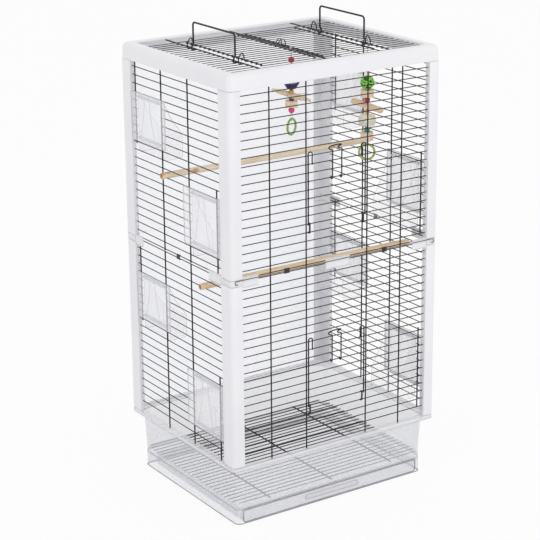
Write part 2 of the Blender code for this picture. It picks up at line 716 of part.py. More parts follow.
def hatch(side):
    """A roof hatch that folds out on the cross wire beside it, with two wire arches as hinges."""
    sign = -1 if side == "left" else 1
    axis_z = ROOF_FACE_Z + UPRIGHT_WIRE / 2
    axis_x = sign * HATCH_HINGE_X
    ys = roof_rows()[1:-1]
    outer = sign * HATCH_OUTER_X - axis_x
    inner = sign * HATCH_INNER_X - axis_x
    ends = sorted((outer + sign * OVERRUN, inner - sign * OVERRUN))
    rows = [(y, ends[0], ends[1]) for y in ys]
    uprights = [(x, ys[0] - OVERRUN, ys[-1] + OVERRUN) for x in sorted((outer, inner))]
    verts, faces = lattice_mesh(rows, uprights)
    verts = [(x, y, z - UPRIGHT_WIRE / 2) for x, y, z in verts]
    place = Matrix.Translation((axis_x, 0, axis_z))
    leaf = solid("roof_hatch_" + side, verts, faces, "dark_wire", place)
    wire = UPRIGHT_WIRE * 0.45
    reach = HEX_REACH + wire + GAP
    for k, s in enumerate((-1, 1)):
        y = s * ARCH_SLOT * ROOF_PITCH
        path = [Vector((outer, y, 0.0)), Vector((outer + sign * 0.003, y, ARCH_RISE * 0.55))]
        path += [Vector((outer + sign * 0.008, y, ARCH_RISE)), Vector((sign * 0.004, y, ARCH_RISE * 0.94))]
        path.append(Vector((sign * reach, y, ARCH_RISE * 0.5)))
        path += hook_path((0, y, 0), reach, 0, -120, 2, (sign, 0, 0))
        arch = tube_mesh(path, wire, 5)
        combine(leaf, helper("arch%d_%s" % (k, side), arch[0], arch[1], "dark_wire", place), "UNION")
    return leaf


def roof_bail():
    """A small wire bail on the right hatch's inner edge, which clips over the roof's centre wire."""
    axis_z = ROOF_FACE_Z + UPRIGHT_WIRE / 2
    radius = LATCH_WIRE / 2
    reach = HEX_REACH + radius + GAP
    x, y = HATCH_INNER_X, BAIL_HALF
    place = Matrix.Translation((x, 0, axis_z))
    half_path = hook_path((0, -y, 0), reach, -90, 45, 3, (1, 0, 0))
    half_path += [Vector((0.0, -y, BAIL_RISE * 0.8)), Vector((-x * 0.5, -y * 0.9, BAIL_RISE))]
    half_path.append(Vector((-x * 1.1, -y * 0.6, BAIL_RISE * 0.9)))
    half_path.append(Vector((-x * 1.5, -y * 0.5, BAIL_RISE * 0.5)))
    path = half_path + [Vector((p.x, -p.y, p.z)) for p in reversed(half_path)]
    verts, faces = tube_mesh(path, radius, 5)
    return solid("roof_latch_bail", verts, faces, "dark_wire", place)


def carry_handle(side):
    """A folding wire handle whose feet curl round the roof's cross wire."""
    sign = -1 if side == "left" else 1
    axis_z = ROOF_FACE_Z + UPRIGHT_WIRE / 2
    radius = HANDLE_WIRE / 2
    reach = HEX_REACH + radius + GAP
    place = Matrix.Translation((sign * HATCH_HINGE_X, 0, axis_z))
    bend, half, rise = HANDLE_BEND, HANDLE_SLOT * ROOF_PITCH, HANDLE_RISE
    foot = hook_path((0, -half, 0), reach, -135, 0, 3, (sign, 0, 0))
    foot += [Vector((sign * reach, -half, reach * 0.9)), Vector((0.0, -half, reach * 2.4))]
    foot.append(Vector((0.0, -half, rise - bend)))
    foot += arc_path((0, -half + bend, rise - bend), bend, 157.5, 90, 3, (0, 1, 0), (0, 0, 1))
    path = foot + [Vector((p.x, -p.y, p.z)) for p in reversed(foot)]
    verts, faces = tube_mesh(path, radius, 6)
    return solid("carry_handle_" + side, verts, faces, "dark_wire", place)


def base_tray():
    """The clear base: a rim, a tapering skirt and a narrower drawer housing, with the drawer's opening."""
    top, wall = POST_FOOT_Z - GAP, TRAY_WALL
    rim_foot = top - RIM_HEIGHT
    loops = [
        inset_loop(HOUSING_INSET + 0.002, 0.008, 0.0), inset_loop(HOUSING_INSET, 0.010, 0.0025),
        inset_loop(HOUSING_INSET, 0.010, HOUSING_TOP_Z),
        inset_loop(SKIRT_FOOT_INSET + 0.0015, 0.022, HOUSING_TOP_Z + 0.0035),
        inset_loop(SKIRT_FOOT_INSET, 0.026, SKIRT_FOOT_Z), inset_loop(SKIRT_INSET, 0.030, rim_foot - 0.002),
        inset_loop(SKIRT_INSET - 0.001, 0.026, rim_foot), inset_loop(-RIM_OUT, 0.013, rim_foot + 0.001),
        inset_loop(-RIM_OUT, 0.013, top), inset_loop(SKIRT_INSET + wall, 0.024, top),
        inset_loop(SKIRT_FOOT_INSET + wall, 0.0225, SKIRT_FOOT_Z),
        inset_loop(SKIRT_FOOT_INSET + wall + 0.001, 0.020, HOUSING_TOP_Z + 0.0035 + wall),
        inset_loop(HOUSING_INSET + wall, 0.0085, HOUSING_TOP_Z + wall),
        inset_loop(HOUSING_INSET + wall, 0.0085, wall),
    ]
    verts, faces = loft_mesh(loops)
    tray = solid("base_tray", verts, faces, "clear_plastic")
    front = -DEPTH / 2
    half = DRAWER_HALF + 0.0006
    mouth = mouth_outline(half, DRAWER_FOOT_Z - 0.0004, DRAWER_TOP_Z + 0.0006, 0.006)
    loops = [[(x, y, z) for x, z in mouth] for y in (front + HOUSING_INSET + wall + 0.004, front)]
    cut = loft_mesh(loops)
    combine(tray, helper("cut_tray_mouth", cut[0], cut[1], "clear_plastic"), "DIFFERENCE")
    return tray


def mouth_outline(half, low, high, radius):
    """A rectangle in XZ with round lower corners, counter-clockwise seen from -Y."""
    points = [(half, high), (-half, high)]
    for k in range(4):
        angle = math.radians(180 + 30 * k)
        points.append((-half + radius + radius * math.cos(angle), low + radius + radius * math.sin(angle)))
    for k in range(4):
        angle = math.radians(270 + 30 * k)
        points.append((half - radius + radius * math.cos(angle), low + radius + radius * math.sin(angle)))
    return points


def drawer():
    """The clear drawer, open at the top, with a hand slot in its front."""
    wall = DRAWER_WALL
    front = -DEPTH / 2 + HOUSING_INSET
    low, high = DRAWER_FOOT_Z, DRAWER_TOP_Z
    outline = mouth_outline(DRAWER_HALF, low, high, 0.0056)
    place = Matrix.Translation((0, front, 0))
    body = loft_mesh([[(x, y, z) for x, z in outline] for y in (DRAWER_LENGTH, 0.0)])
    tray = solid("drawer", body[0], body[1], "clear_plastic", place)
    inside = loft_mesh([
        rounded_loop(DRAWER_HALF - wall - 0.002, DRAWER_LENGTH / 2 - wall - 0.002, 0.006, low + wall),
        rounded_loop(DRAWER_HALF - wall, DRAWER_LENGTH / 2 - wall, 0.008, low + wall + 0.003),
        rounded_loop(DRAWER_HALF - wall, DRAWER_LENGTH / 2 - wall, 0.008, high + 0.01)])
    shift = place @ Matrix.Translation((0, DRAWER_LENGTH / 2, 0))
    combine(tray, helper("cut_drawer_inside", inside[0], inside[1], "clear_plastic", shift), "DIFFERENCE")
    middle = (low + high) / 2 + 0.001
    slot = []
    radius = SLOT_HEIGHT / 2
    for side in (1, -1):
        for k in range(5):
            angle = math.radians(-90 * side + 45 * k)
            x = side * (SLOT_HALF - radius) + radius * math.cos(angle)
            slot.append((x, middle + radius * math.sin(angle)))
    hole = loft_mesh([[(x, y, z) for x, z in slot] for y in (wall + 0.002, -0.01)])
    combine(tray, helper("cut_drawer_slot", hole[0], hole[1], "clear_plastic", place), "DIFFERENCE")
    return tray


def floor_grate():
    """The wire grate on the tray's ledge."""
    half_x = WIDTH / 2 - GRATE_INSET
    half_y = DEPTH / 2 - GRATE_INSET
    z = HOUSING_TOP_Z + 0.0035 + TRAY_WALL + GAP + UPRIGHT_WIRE
    pitch = 2 * (half_y - GRATE_OVERHANG) / (GRATE_ROWS - 1)
    ys = [(k - (GRATE_ROWS - 1) / 2) * pitch for k in range(GRATE_ROWS)]
    rows = []
    for y in ys:
        over = max(abs(y) + GRATE_WIRE - (half_y - GRATE_CORNER), 0.0)
        reach = half_x - GRATE_CORNER + math.sqrt(GRATE_CORNER ** 2 - over ** 2)
        rows.append((y, -reach, reach))
    cross = [(x, -half_y, half_y) for x in (-half_x * 0.66, 0.0, half_x * 0.66)]
    verts, faces = lattice_mesh(rows, cross, GRATE_WIRE, UPRIGHT_WIRE)
    flip = Matrix.Translation((0, 0, z)) @ Matrix.Rotation(math.pi, 4, "X")
    return solid("floor_grate", verts, faces, "dark_wire", flip)


def perch(name, row, section, y):
    """A round wooden perch whose notched ends sit down over a row of the side walls."""
    steps = 12
    wire_z = row_z(section, row)
    z = wire_z - ROW_WIRE / 2 - 0.0002 + PERCH_RADIUS
    circle = []
    for k in range(steps):
        angle = 2 * math.pi * (k + 0.5) / steps
        circle.append((PERCH_RADIUS * math.cos(angle), PERCH_RADIUS * math.sin(angle)))
    sizes = ((-PERCH_HALF, 0.86), (-PERCH_HALF + 0.001, 1.0), (PERCH_HALF - 0.001, 1.0), (PERCH_HALF, 0.86))
    verts, faces = loft_mesh([[(x, u * s, v * s) for u, v in circle] for x, s in sizes])
    place = Matrix.Translation((0, y, z))
    bar = solid(name, verts, faces, "wood", place)
    middle = WIDTH / 2 - WIRE_PLANE - ROW_WIRE / 2
    top = wire_z + ROW_WIRE / 2 + GAP - z
    for k, s in enumerate((-1, 1)):
        low = (s * middle - PERCH_NOTCH / 2, -0.01, -0.01)
        notch = box_mesh(low, (s * middle + PERCH_NOTCH / 2, 0.01, top))
        combine(bar, helper("notch%d_%s" % (k, name), notch[0], notch[1], "wood", place), "DIFFERENCE")
    return bar


def turned_mesh(profile, steps):
    """Turns (radius, z) points about Z, from the bottom up."""
    loops = []
    for radius, z in profile:
        loop = []
        for k in range(steps):
            angle = 2 * math.pi * k / steps
            loop.append((radius * math.cos(angle), radius * math.sin(angle), z))
        loops.append(loop)
    return loft_mesh(loops)


def bead_profile(centre, radius, string):
    """Profile points of a bead on its string, bottom first."""
    points = [(string, centre - radius)]
    for angle in (-60, -20, 20, 60):
        tilt = math.radians(angle)
        points.append((radius * math.cos(tilt), centre + radius * math.sin(tilt)))
    points.append((string, centre + radius))
    return points


def torus_mesh(radius, tube, steps, sides):
    """A ring standing in the XZ plane."""
    loops = []
    for k in range(steps):
        a = 2 * math.pi * k / steps
        loop = []
        for j in range(sides):
            b = 2 * math.pi * j / sides
            r = radius + tube * math.cos(b)
            loop.append((r * math.cos(a), -tube * math.sin(b), r * math.sin(a)))
        loops.append(loop)
    return ring_mesh(loops)


def turned_ring_mesh(profile, steps):
    """Turns a closed (radius, z) profile about Z, for a bead or block with a bore."""
    loops = []
    for radius, z in profile:
        loop = []
        for k in range(steps):
            angle = 2 * math.pi * k / steps
            loop.append((radius * math.cos(angle), radius * math.sin(angle), z))
        loops.append(loop)
    return ring_mesh(loops)


def eye_drop():
    """Distance from a string's foot down to the middle of the ring's tube, and the eye's reach."""
    reach = RING_TUBE + STRING_RADIUS * 0.8 + EYE_GAP
    return reach / math.cos(math.radians(EYE_STEP / 2)), reach


def toy_core(name, x, y, across, clear, wire_z, foot, beads, blocks, ring_turn):
    """The string of a toy with its beads and blocks, a hook over a roof wire and an eye for the ring."""
    place = Matrix.Translation((x, y, wire_z))
    profile = [(STRING_RADIUS, foot - wire_z)]
    for centre, radius in beads:
        profile += bead_profile(centre - wire_z, radius, STRING_RADIUS)
    neck = clear + 0.0035
    profile.append((STRING_RADIUS, -neck))
    verts, faces = turned_mesh(profile, 8)
    core = solid(name, verts, faces, "toy_beads", place)
    for k, (centre, half, tall) in enumerate(blocks):
        ends = (centre - wire_z - tall / 2, centre - wire_z + tall / 2)
        block = loft_mesh([rounded_loop(half, half, 0.002, z, 1) for z in ends])
        combine(core, helper("block%d_%s" % (k, name), block[0], block[1], "wood", place), "UNION")
    wire = STRING_RADIUS * 0.8
    start = [Vector((0, 0, -neck - 0.001))]
    bends = hook_path((0, 0, 0), clear + wire + GAP, -50, 210, 5, across)
    hook = tube_mesh(start + bends, wire, 5)
    combine(core, helper("hook_" + name, hook[0], hook[1], "toy_beads", place), "UNION")
    facing = Matrix.Rotation(ring_turn, 3, "Z") @ Vector((0, 1, 0))
    drop, reach = eye_drop()
    low = Vector((0, 0, foot - wire_z - drop))
    start = [low + Vector((0, 0, drop + 0.001))]
    bends = hook_path(low, reach, 60, 60 - 4 * EYE_STEP, 4, facing)
    loop = tube_mesh(start + bends, wire, 5)
    combine(core, helper("eye_" + name, loop[0], loop[1], "toy_beads", place), "UNION")
    return core


def toy_ring(name, x, y, foot, ring_turn):
    """The ring below a toy, its origin on the point where it hangs."""
    verts, faces = torus_mesh(RING_RADIUS, RING_TUBE, 12, 6)
    verts = [(vx, vy, vz - RING_RADIUS) for vx, vy, vz in verts]
    place = Matrix.Translation((x, y, foot - eye_drop()[0])) @ Matrix.Rotation(ring_turn, 4, "Z")
    return solid(name, verts, faces, "green_ring", place)


def strung(name, profile, steps, mat, x, y, z):
    """A turned piece that the string runs through."""
    bore = STRING_RADIUS + GAP
    closed = profile + [(bore, profile[-1][1]), (bore, profile[0][1])]
    verts, faces = turned_ring_mesh(closed, steps)
    return solid(name, verts, faces, mat, Matrix.Translation((x, y, z)))


def slat(name, size, mat, x, y, z, tilt):
    """A flat leaf or stick that the string runs through, narrower at its ends."""
    length, width, thick, taper = size
    half, end = width / 2, width / 2 * taper
    outline = [(-length / 2, -end), (-length / 4, -half), (length / 4, -half), (length / 2, -end)]
    outline += [(length / 2, end), (length / 4, half), (-length / 4, half), (-length / 2, end)]
    verts, faces = prism_mesh(outline, -thick / 2, thick / 2)
    place = Matrix.Translation((x, y, z)) @ Matrix.Rotation(SLAT_TURN, 4, "Z") @ Matrix.Rotation(tilt, 4, "Y")
    piece = solid(name, verts, faces, mat, place)
    bore = STRING_RADIUS + 2 * GAP
    hole = turned_mesh([(bore, -0.02), (bore, 0.02)], 6)
    upright = Matrix.Translation((x, y, z))
    combine(piece, helper("bore_" + name, hole[0], hole[1], mat, upright), "DIFFERENCE")
    return piece


def left_toy():
    """The toy on the roof's centre wire: beads, fringe, woven leaf, block and ring."""
    bead, x, y = BEAD_RADIUS, LEFT_TOY_X, -2.5 * ROOF_PITCH
    top = ROOF_FACE_Z + UPRIGHT_WIRE / 2
    foot = top - LEFT_FOOT
    turn = math.radians(25)
    beads = [(top - drop, bead * size) for drop, size in zip(LEFT_BEADS, (1, 0.85, 0.8, 1))]
    blocks = [(top - LEFT_BLOCK, LEFT_BLOCK_HALF, LEFT_BLOCK_TALL)]
    toy_core("toy_left_core", x, y, (1, 0, 0), HEX_REACH, top, foot, beads, blocks, turn)
    toy_ring("toy_left_ring", x, y, foot, turn)
    size = (LEAF_LENGTH, LEAF_WIDTH, LEAF_THICK, 0.45)
    slat("toy_left_leaf", size, "straw", x, y, top - LEAF_DROP, math.radians(17))
    fringe = list(zip(FRINGE_RADII, FRINGE_HEIGHTS))
    strung("toy_left_fringe", fringe, 10, "purple_fringe", x, y, top - FRINGE_DROP)


def right_toy():
    """The toy on a roof row: vine ball, blocks, stick, beads, loofah and ring."""
    bead, x, y = BEAD_RADIUS, RIGHT_TOY_X, -3 * ROOF_PITCH
    top = ROOF_FACE_Z - ROW_WIRE / 2
    foot = top - RIGHT_FOOT
    beads = [(top - drop, bead * size) for drop, size in zip(RIGHT_BEADS, (1, 0.9, 1))]
    blocks = [(top - drop, RIGHT_BLOCK_HALF, tall) for drop, tall in zip(RIGHT_BLOCKS, RIGHT_BLOCK_TALLS)]
    toy_core("toy_right_core", x, y, (0, 1, 0), ROW_REACH, top, foot, beads, blocks, SLAT_TURN)
    toy_ring("toy_right_ring", x, y, foot, SLAT_TURN)
    size = (STICK_LENGTH, STICK_WIDTH, STICK_THICK, 0.7)
    slat("toy_right_stick", size, "wood", x, y, top - STICK_DROP, math.radians(20))
    loofah = list(zip(LOOFAH_RADII, LOOFAH_HEIGHTS))
    strung("toy_right_loofah", loofah, 10, "loofah", x, y, top - LOOFAH_DROP)
    ball = []
    for angle in (-80, -50, -17, 17, 50, 80):
        tilt = math.radians(angle)
        ball.append((BALL_RADIUS * math.cos(tilt), BALL_RADIUS * math.sin(tilt)))
    strung("toy_right_ball", ball, 10, "green_vine", x, y, top - BALL_DROP)


def clear_scene():
    for obj in list(bpy.data.objects):
        bpy.data.objects.remove(obj, do_unlink=True)


def build():
    base_tray()
    drawer()
    floor_grate()
    posts()
    back_sheets()
    for section in SECTIONS:
        front_panel(section)
        door(section)
        latch(section)
        for side in ("left", "right"):
            side_panel(section, side)
            for end in ("rear", "front"):
                feeder(section, side, end)
    joint_connectors()
    joint_wires()
    top_ring()
    roof()
    for side in ("left", "right"):
        hatch(side)
        carry_handle(side)
    roof_bail()
    perch("perch_upper", UPPER_PERCH_ROW, "upper", UPPER_PERCH_Y)
    perch("perch_lower", LOWER_PERCH_ROW, "lower", LOWER_PERCH_Y)
    left_toy()
    right_toy()


clear_scene()
build()
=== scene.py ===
"""Tabletop bird cage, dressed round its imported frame: round wires, white and clear plastic, wood and toys.

Metres, +Z up, front at -Y, with every piece in the place that the part's source gives it.
"""

import logging
from collections.abc import Mapping, Sequence
from dataclasses import dataclass
from enum import Enum
from itertools import product
from math import asin, copysign, cos, pi, radians, sin, sqrt
from typing import Any

import bmesh
import bpy
from mathutils import Matrix, Vector, noise


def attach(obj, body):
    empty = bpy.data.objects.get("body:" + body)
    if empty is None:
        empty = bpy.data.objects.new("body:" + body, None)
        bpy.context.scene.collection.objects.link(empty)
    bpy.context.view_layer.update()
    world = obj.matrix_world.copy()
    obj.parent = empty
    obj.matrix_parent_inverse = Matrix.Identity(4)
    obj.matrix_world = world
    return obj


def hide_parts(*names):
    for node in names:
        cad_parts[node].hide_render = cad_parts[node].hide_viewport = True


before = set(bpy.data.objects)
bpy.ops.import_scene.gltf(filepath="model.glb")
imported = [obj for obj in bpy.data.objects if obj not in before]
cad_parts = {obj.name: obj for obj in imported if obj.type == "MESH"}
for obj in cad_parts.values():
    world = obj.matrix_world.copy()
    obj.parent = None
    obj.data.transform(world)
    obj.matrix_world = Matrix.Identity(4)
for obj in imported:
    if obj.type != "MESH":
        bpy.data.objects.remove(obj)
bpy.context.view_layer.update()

LOG = logging.getLogger("bird_cage")
X, Y, Z = Vector((1.0, 0.0, 0.0)), Vector((0.0, 1.0, 0.0)), Vector((0.0, 0.0, 1.0))

# Signs of a rectangle's corners, counter-clockwise.
CORNERS = ((1, 1), (-1, 1), (-1, -1), (1, -1))
# Radius of a round wire over the thickness of the solid's square one.
WIRE_RADIUS = 0.55
# Reach and width of a tube's two end rings over its radius.
TUBE_CAPS = ((0.75, 0.5), (0.4, 0.85))
# Turn of the toys' flat pieces about the string, and the angle that spreads bands and fibres evenly.
TOY_TURN, GOLDEN_TURN = radians(-33), 2.39996
# Width of the picture in pixels and of the camera's sensor.
PICTURE_PX, SENSOR_MM = 540, 36.0

Colour = str
Loop = list[Vector]
Points = Sequence[Sequence[float]]
Rows = list[tuple[float, float, float]]


def at(x: float, y: float, z: float) -> Matrix:
    """The matrix that shifts by x, y and z."""
    return Matrix.Translation((x, y, z))


def tint(code: Colour) -> tuple[float, float, float, float]:
    """Turns a screen colour such as "#4A4A4E" into the linear colour that a shader takes.

    Args:
        code: The colour as six hexadecimal digits after a hash sign.

    Returns:
        Linear red, green, blue and an alpha of one.
    """
    parts = [int(code[k:k + 2], 16) / 255 for k in (1, 3, 5)]
    red, green, blue = (((v + 0.055) / 1.055) ** 2.4 if v > 0.04045 else v / 12.92 for v in parts)
    return red, green, blue, 1.0


class Section(Enum):
    """The two wire sections that stand on each other."""

    UPPER = "upper"
    LOWER = "lower"


class Side(Enum):
    """The cage's left and right, seen from the front."""

    LEFT = "left"
    RIGHT = "right"

    @property
    def sign(self) -> int:
        """The side's sign along X."""
        return -1 if self is Side.LEFT else 1


class End(Enum):
    """The cage's front and rear."""

    FRONT = "front"
    REAR = "rear"

    @property
    def sign(self) -> int:
        """The end's sign along Y."""
        return -1 if self is End.FRONT else 1


class Wall(Enum):
    """The wire walls, with the angle that turns the front wall into each."""

    FRONT = 0.0
    LEFT = -90.0
    RIGHT = 90.0


@dataclass(frozen=True)
class Layout:
    """Sizes that the sub-assemblies share."""

    width: float = 0.456
    depth: float = 0.368
    post_foot: float = 0.123
    joint: float = 0.473
    joint_height: float = 0.012
    ring_foot: float = 0.814
    top: float = 0.843
    gap: float = 0.0003
    front_leaf: float = 0.024
    side_leaf: float = 0.034
    row_wire: float = 0.0016
    upright_wire: float = 0.0024
    pitch: float = 0.0156
    upper_top_row: float = 0.8035
    lower_top_row: float = 0.456
    rows: int = 21
    wire_plane: float = 0.0044
    joint_wires: float = 0.476
    joint_row_rise: float = 0.0027
    overrun: float = 0.0022
    front_uprights: tuple[float, float] = (0.144, 0.067)
    side_uprights: tuple[float, float] = (0.137, 0.0455)
    rear_opening: tuple[int, int] = (3, 9)
    front_opening: tuple[int, int] = (12, 19)
    door_top_row: int = 7
    door_foot_row: int = 17
    roof_face: float = 0.8372
    roof_pitch: float = 0.0155
    roof_rows: int = 19
    hatch_hinge: float = 0.140

    def row_z(self, section: Section, number: int) -> float:
        """Height of a section's row, counted from its top."""
        top = self.upper_top_row if section is Section.UPPER else self.lower_top_row
        return top - number * self.pitch

    def edge_row_z(self, section: Section) -> float:
        """Height of the section's edge wire beside the joint."""
        return self.joint_wires + self.joint_row_rise * (1 if section is Section.UPPER else -1)

    def post_span(self, section: Section) -> tuple[float, float]:
        """Gives the heights between which a section's posts stand.

        Args:
            section: The section.

        Returns:
            Their lowest and highest point.
        """
        if section is Section.UPPER:
            return self.joint + self.joint_height / 2 + self.gap, self.ring_foot - self.gap
        return self.post_foot + self.gap, self.joint - self.joint_height / 2 - self.gap

    def upright_span(self, section: Section) -> tuple[float, float]:
        """Gives the heights between which a section's uprights run.

        Args:
            section: The section.

        Returns:
            Their lowest and highest point.
        """
        edge = self.edge_row_z(section)
        if section is Section.UPPER:
            return edge - self.overrun, self.ring_foot - self.gap
        return self.post_foot + self.gap, edge + self.overrun

    def wall_place(self, wall: Wall, z: float = 0.0) -> Matrix:
        """Gives the matrix that stands a flat lattice up as a wall, facing out.

        Args:
            wall: The wall to stand up.
            z: Height of the lattice's origin.

        Returns:
            The matrix from lattice to cage places.
        """
        distance = (self.depth if wall is Wall.FRONT else self.width) / 2 - self.wire_plane
        turn = Matrix.Rotation(radians(wall.value), 4, "Z")
        stand = Matrix.Rotation(radians(90), 4, "X")
        return turn @ at(0, -distance, z) @ stand

    def roof_row_ys(self) -> list[float]:
        """Places of the roof's rows along Y, front to back."""
        return [(k - (self.roof_rows - 1) / 2) * self.roof_pitch for k in range(self.roof_rows)]


CAGE = Layout()


class Link:
    """A shader socket that takes part in Python expressions, each of which adds its Math nodes."""

    def __init__(self, shader: "Shader", socket: bpy.types.NodeSocket) -> None:
        """Keeps the socket and the shader that owns it."""
        self.shader, self.socket = shader, socket

    def maths(self, operation: str, *values: "Link | float") -> "Link":
        """Adds a Math node.

        Args:
            operation: The node's operation.
            values: Its inputs in order.

        Returns:
            The node's result.
        """
        return self.shader.node("ShaderNodeMath", {"operation": operation}, dict(enumerate(values)))

    def __add__(self, other: "Link | float") -> "Link":
        """Sum of two values."""
        return self.maths("ADD", self, other)

    def __radd__(self, other: "Link | float") -> "Link":
        """Sum with the value on the right."""
        return self.maths("ADD", other, self)

    def __sub__(self, other: "Link | float") -> "Link":
        """Difference of two values."""
        return self.maths("SUBTRACT", self, other)

    def __rsub__(self, other: "Link | float") -> "Link":
        """Difference with the value on the right."""
        return self.maths("SUBTRACT", other, self)

    def __mul__(self, other: "Link | float") -> "Link":
        """Product of two values."""
        return self.maths("MULTIPLY", self, other)

    def __rmul__(self, other: "Link | float") -> "Link":
        """Product with the value on the right."""
        return self.maths("MULTIPLY", other, self)

    def most(self, other: "Link | float") -> "Link":
        """The larger of two values."""
        return self.maths("MAXIMUM", self, other)

    def between(self, low: float, high: float) -> "Link":
        """Rises smoothly from zero at low to one at high.

        Args:
            low: The value that gives zero.
            high: The value that gives one.

        Returns:
            The eased value.
        """
        settings = {"interpolation_type": "SMOOTHSTEP"}
        return self.shader.node("ShaderNodeMapRange", settings, {0: self, 1: low, 2: high})


class Shader:
    """Builds the node tree of one material or of the world."""

    def __init__(self, owner: bpy.types.ID) -> None:
        """Starts an empty node tree.

        Args:
            owner: The material or the world that the tree belongs to.
        """
        owner.use_nodes = True
        self.owner, self.tree = owner, owner.node_tree
        self.tree.nodes.clear()
        self.place: Link | None = None

    def node(self, kind: str, settings: Mapping[str, Any] | None = None,
             values: Mapping[int | str, Any] | None = None, output: int | str = 0) -> Link:
        """Adds a node of any type.

        Args:
            kind: The node's type.
            settings: Its properties, set first; "stops" holds a ramp's positions and colours.
            values: The links, values or colour codes of its sockets, by name or number.
            output: The output to hand back, by name or number.

        Returns:
            The chosen output.
        """
        made = self.tree.nodes.new(kind)
        for key, value in (settings or {}).items():
            if key == "stops":
                elements = made.color_ramp.elements
                while len(elements) < len(value):
                    elements.new(1.0)
                for element, (position, colour) in zip(elements, value):
                    element.position, element.color = position, tint(colour)
            else:
                setattr(made, key, value)
        for key, value in (values or {}).items():
            if isinstance(value, Link):
                self.tree.links.new(value.socket, made.inputs[key])
            else:
                made.inputs[key].default_value = tint(value) if isinstance(value, str) else value
        return Link(self, made.outputs[output])

    def coordinates(self, stretch: Sequence[float] = (1, 1, 1), turn: Sequence[float] = (0, 0, 0)) -> Link:
        """Gives the surface's place on its own piece.

        Args:
            stretch: Scale of each axis.
            turn: Rotation in radians, before the scale.

        Returns:
            The coordinates in metres, turned and stretched.
        """
        if self.place is None:
            self.place = self.node("ShaderNodeTexCoord", output="Object")
        if tuple(stretch) == (1, 1, 1) and tuple(turn) == (0, 0, 0):
            return self.place
        turned = self.node("ShaderNodeMapping", None, {"Vector": self.place, "Rotation": turn})
        return self.node("ShaderNodeMapping", None, {"Vector": turned, "Scale": stretch})

    def noise(self, scale: float, detail: float = 2.0, where: Link | None = None, rough: float = 0.5,
              bend: float = 0.0) -> Link:
        """Adds soft noise.

        Args:
            scale: Cells per metre of the coordinates.
            detail: How many finer layers are added.
            where: The coordinates; the plain ones if None.
            rough: Weight of the finer layers.
            bend: How far the noise is distorted.

        Returns:
            A value from zero to one.
        """
        values = {"Vector": where or self.coordinates(), "Scale": scale, "Detail": detail}
        return self.node("ShaderNodeTexNoise", None, {**values, "Roughness": rough, "Distortion": bend})

    def cells(self, scale: float, where: Link | None = None) -> Link:
        """Distance to the nearest of a field of scattered points."""
        values = {"Vector": where or self.coordinates(), "Scale": scale}
        return self.node("ShaderNodeTexVoronoi", None, values, "Distance")

    def ramp(self, factor: Link, stops: Sequence[tuple[float, Colour]]) -> Link:
        """Turns a value into a colour through the given stops."""
        return self.node("ShaderNodeValToRGB", {"stops": stops}, {0: factor})

    def mix(self, factor: Link, low: Link | Colour, high: Link | Colour) -> Link:
        """Blends two colours.

        Args:
            factor: Zero for the first colour, one for the second.
            low: The first colour.
            high: The second colour.

        Returns:
            The blended colour.
        """
        return self.node("ShaderNodeMix", {"data_type": "RGBA"}, {0: factor, 6: low, 7: high}, 2)

    def seen(self) -> Link:
        """Tells the rays that show the room from those that light it.

        Returns:
            One for a ray from the camera, off a shiny piece or through a clear one; zero for the rest.
        """
        names = ("Is Camera Ray", "Is Glossy Ray", "Is Transmission Ray")
        camera, glossy, clear = (self.node("ShaderNodeLightPath", output=name) for name in names)
        return camera.most(glossy).most(clear)

    def bump(self, height: Link, depth: float, strength: float = 1.0) -> Link:
        """Turns a height into a normal; depth is the real height of a value of one, in metres."""
        return self.node("ShaderNodeBump", None, {"Height": height, "Distance": depth, "Strength": strength})

    def surface(self, **sockets: Any) -> bpy.types.Material:
        """Ends the tree with one Principled shader.

        Args:
            sockets: Links or values by socket name, with underscores for its spaces.

        Returns:
            The finished material.
        """
        names = {"IOR_level": "Specular IOR Level"}
        values = {names.get(key, key.replace("_", " ")): value for key, value in sockets.items()}
        return self.end(self.node("ShaderNodeBsdfPrincipled", None, values))

    def end(self, shaded: Link) -> bpy.types.ID:
        """Joins a shader to the tree's output.

        Args:
            shaded: The shader of the surface or of the world.

        Returns:
            The material or the world.
        """
        kind = "World" if isinstance(self.owner, bpy.types.World) else "Material"
        output = self.tree.nodes.new(f"ShaderNodeOutput{kind}")
        self.tree.links.new(shaded.socket, output.inputs["Surface"])
        return self.owner


@dataclass(frozen=True)
class Finish:
    """A surface finish, made once as a material of its own name."""

    name: str

    def material(self) -> bpy.types.Material:
        """The finish's material, made on its first use."""
        known = bpy.data.materials
        return known.get(self.name) or self.paint(Shader(known.new(self.name)))

    def paint(self, shader: Shader) -> bpy.types.Material:
        """Builds the material; each kind of finish has its own way."""
        raise NotImplementedError(self.name)


@dataclass(frozen=True)
class PowderCoat(Finish):
    """Dark powder coat on welded wire, with a fine orange peel and faint dusty patches."""

    colour: Colour = "#28282C"
    dusty: Colour = "#3C3C41"

    def paint(self, shader: Shader) -> bpy.types.Material:
        """Mixes the coat from its own colour and its worn, dusty one.

        Args:
            shader: The tree to build in.

        Returns:
            The material.
        """
        patches = shader.noise(42, 4, rough=0.6)
        peel = shader.noise(2300, 2)
        worn = patches.between(0.5, 0.8) * 0.6
        return shader.surface(
            Base_Color=shader.mix(worn, self.colour, self.dusty),
            Roughness=0.4 + patches * 0.22,
            Normal=shader.bump(peel + patches * 0.6, 0.00006, 0.6),
            IOR_level=0.28)


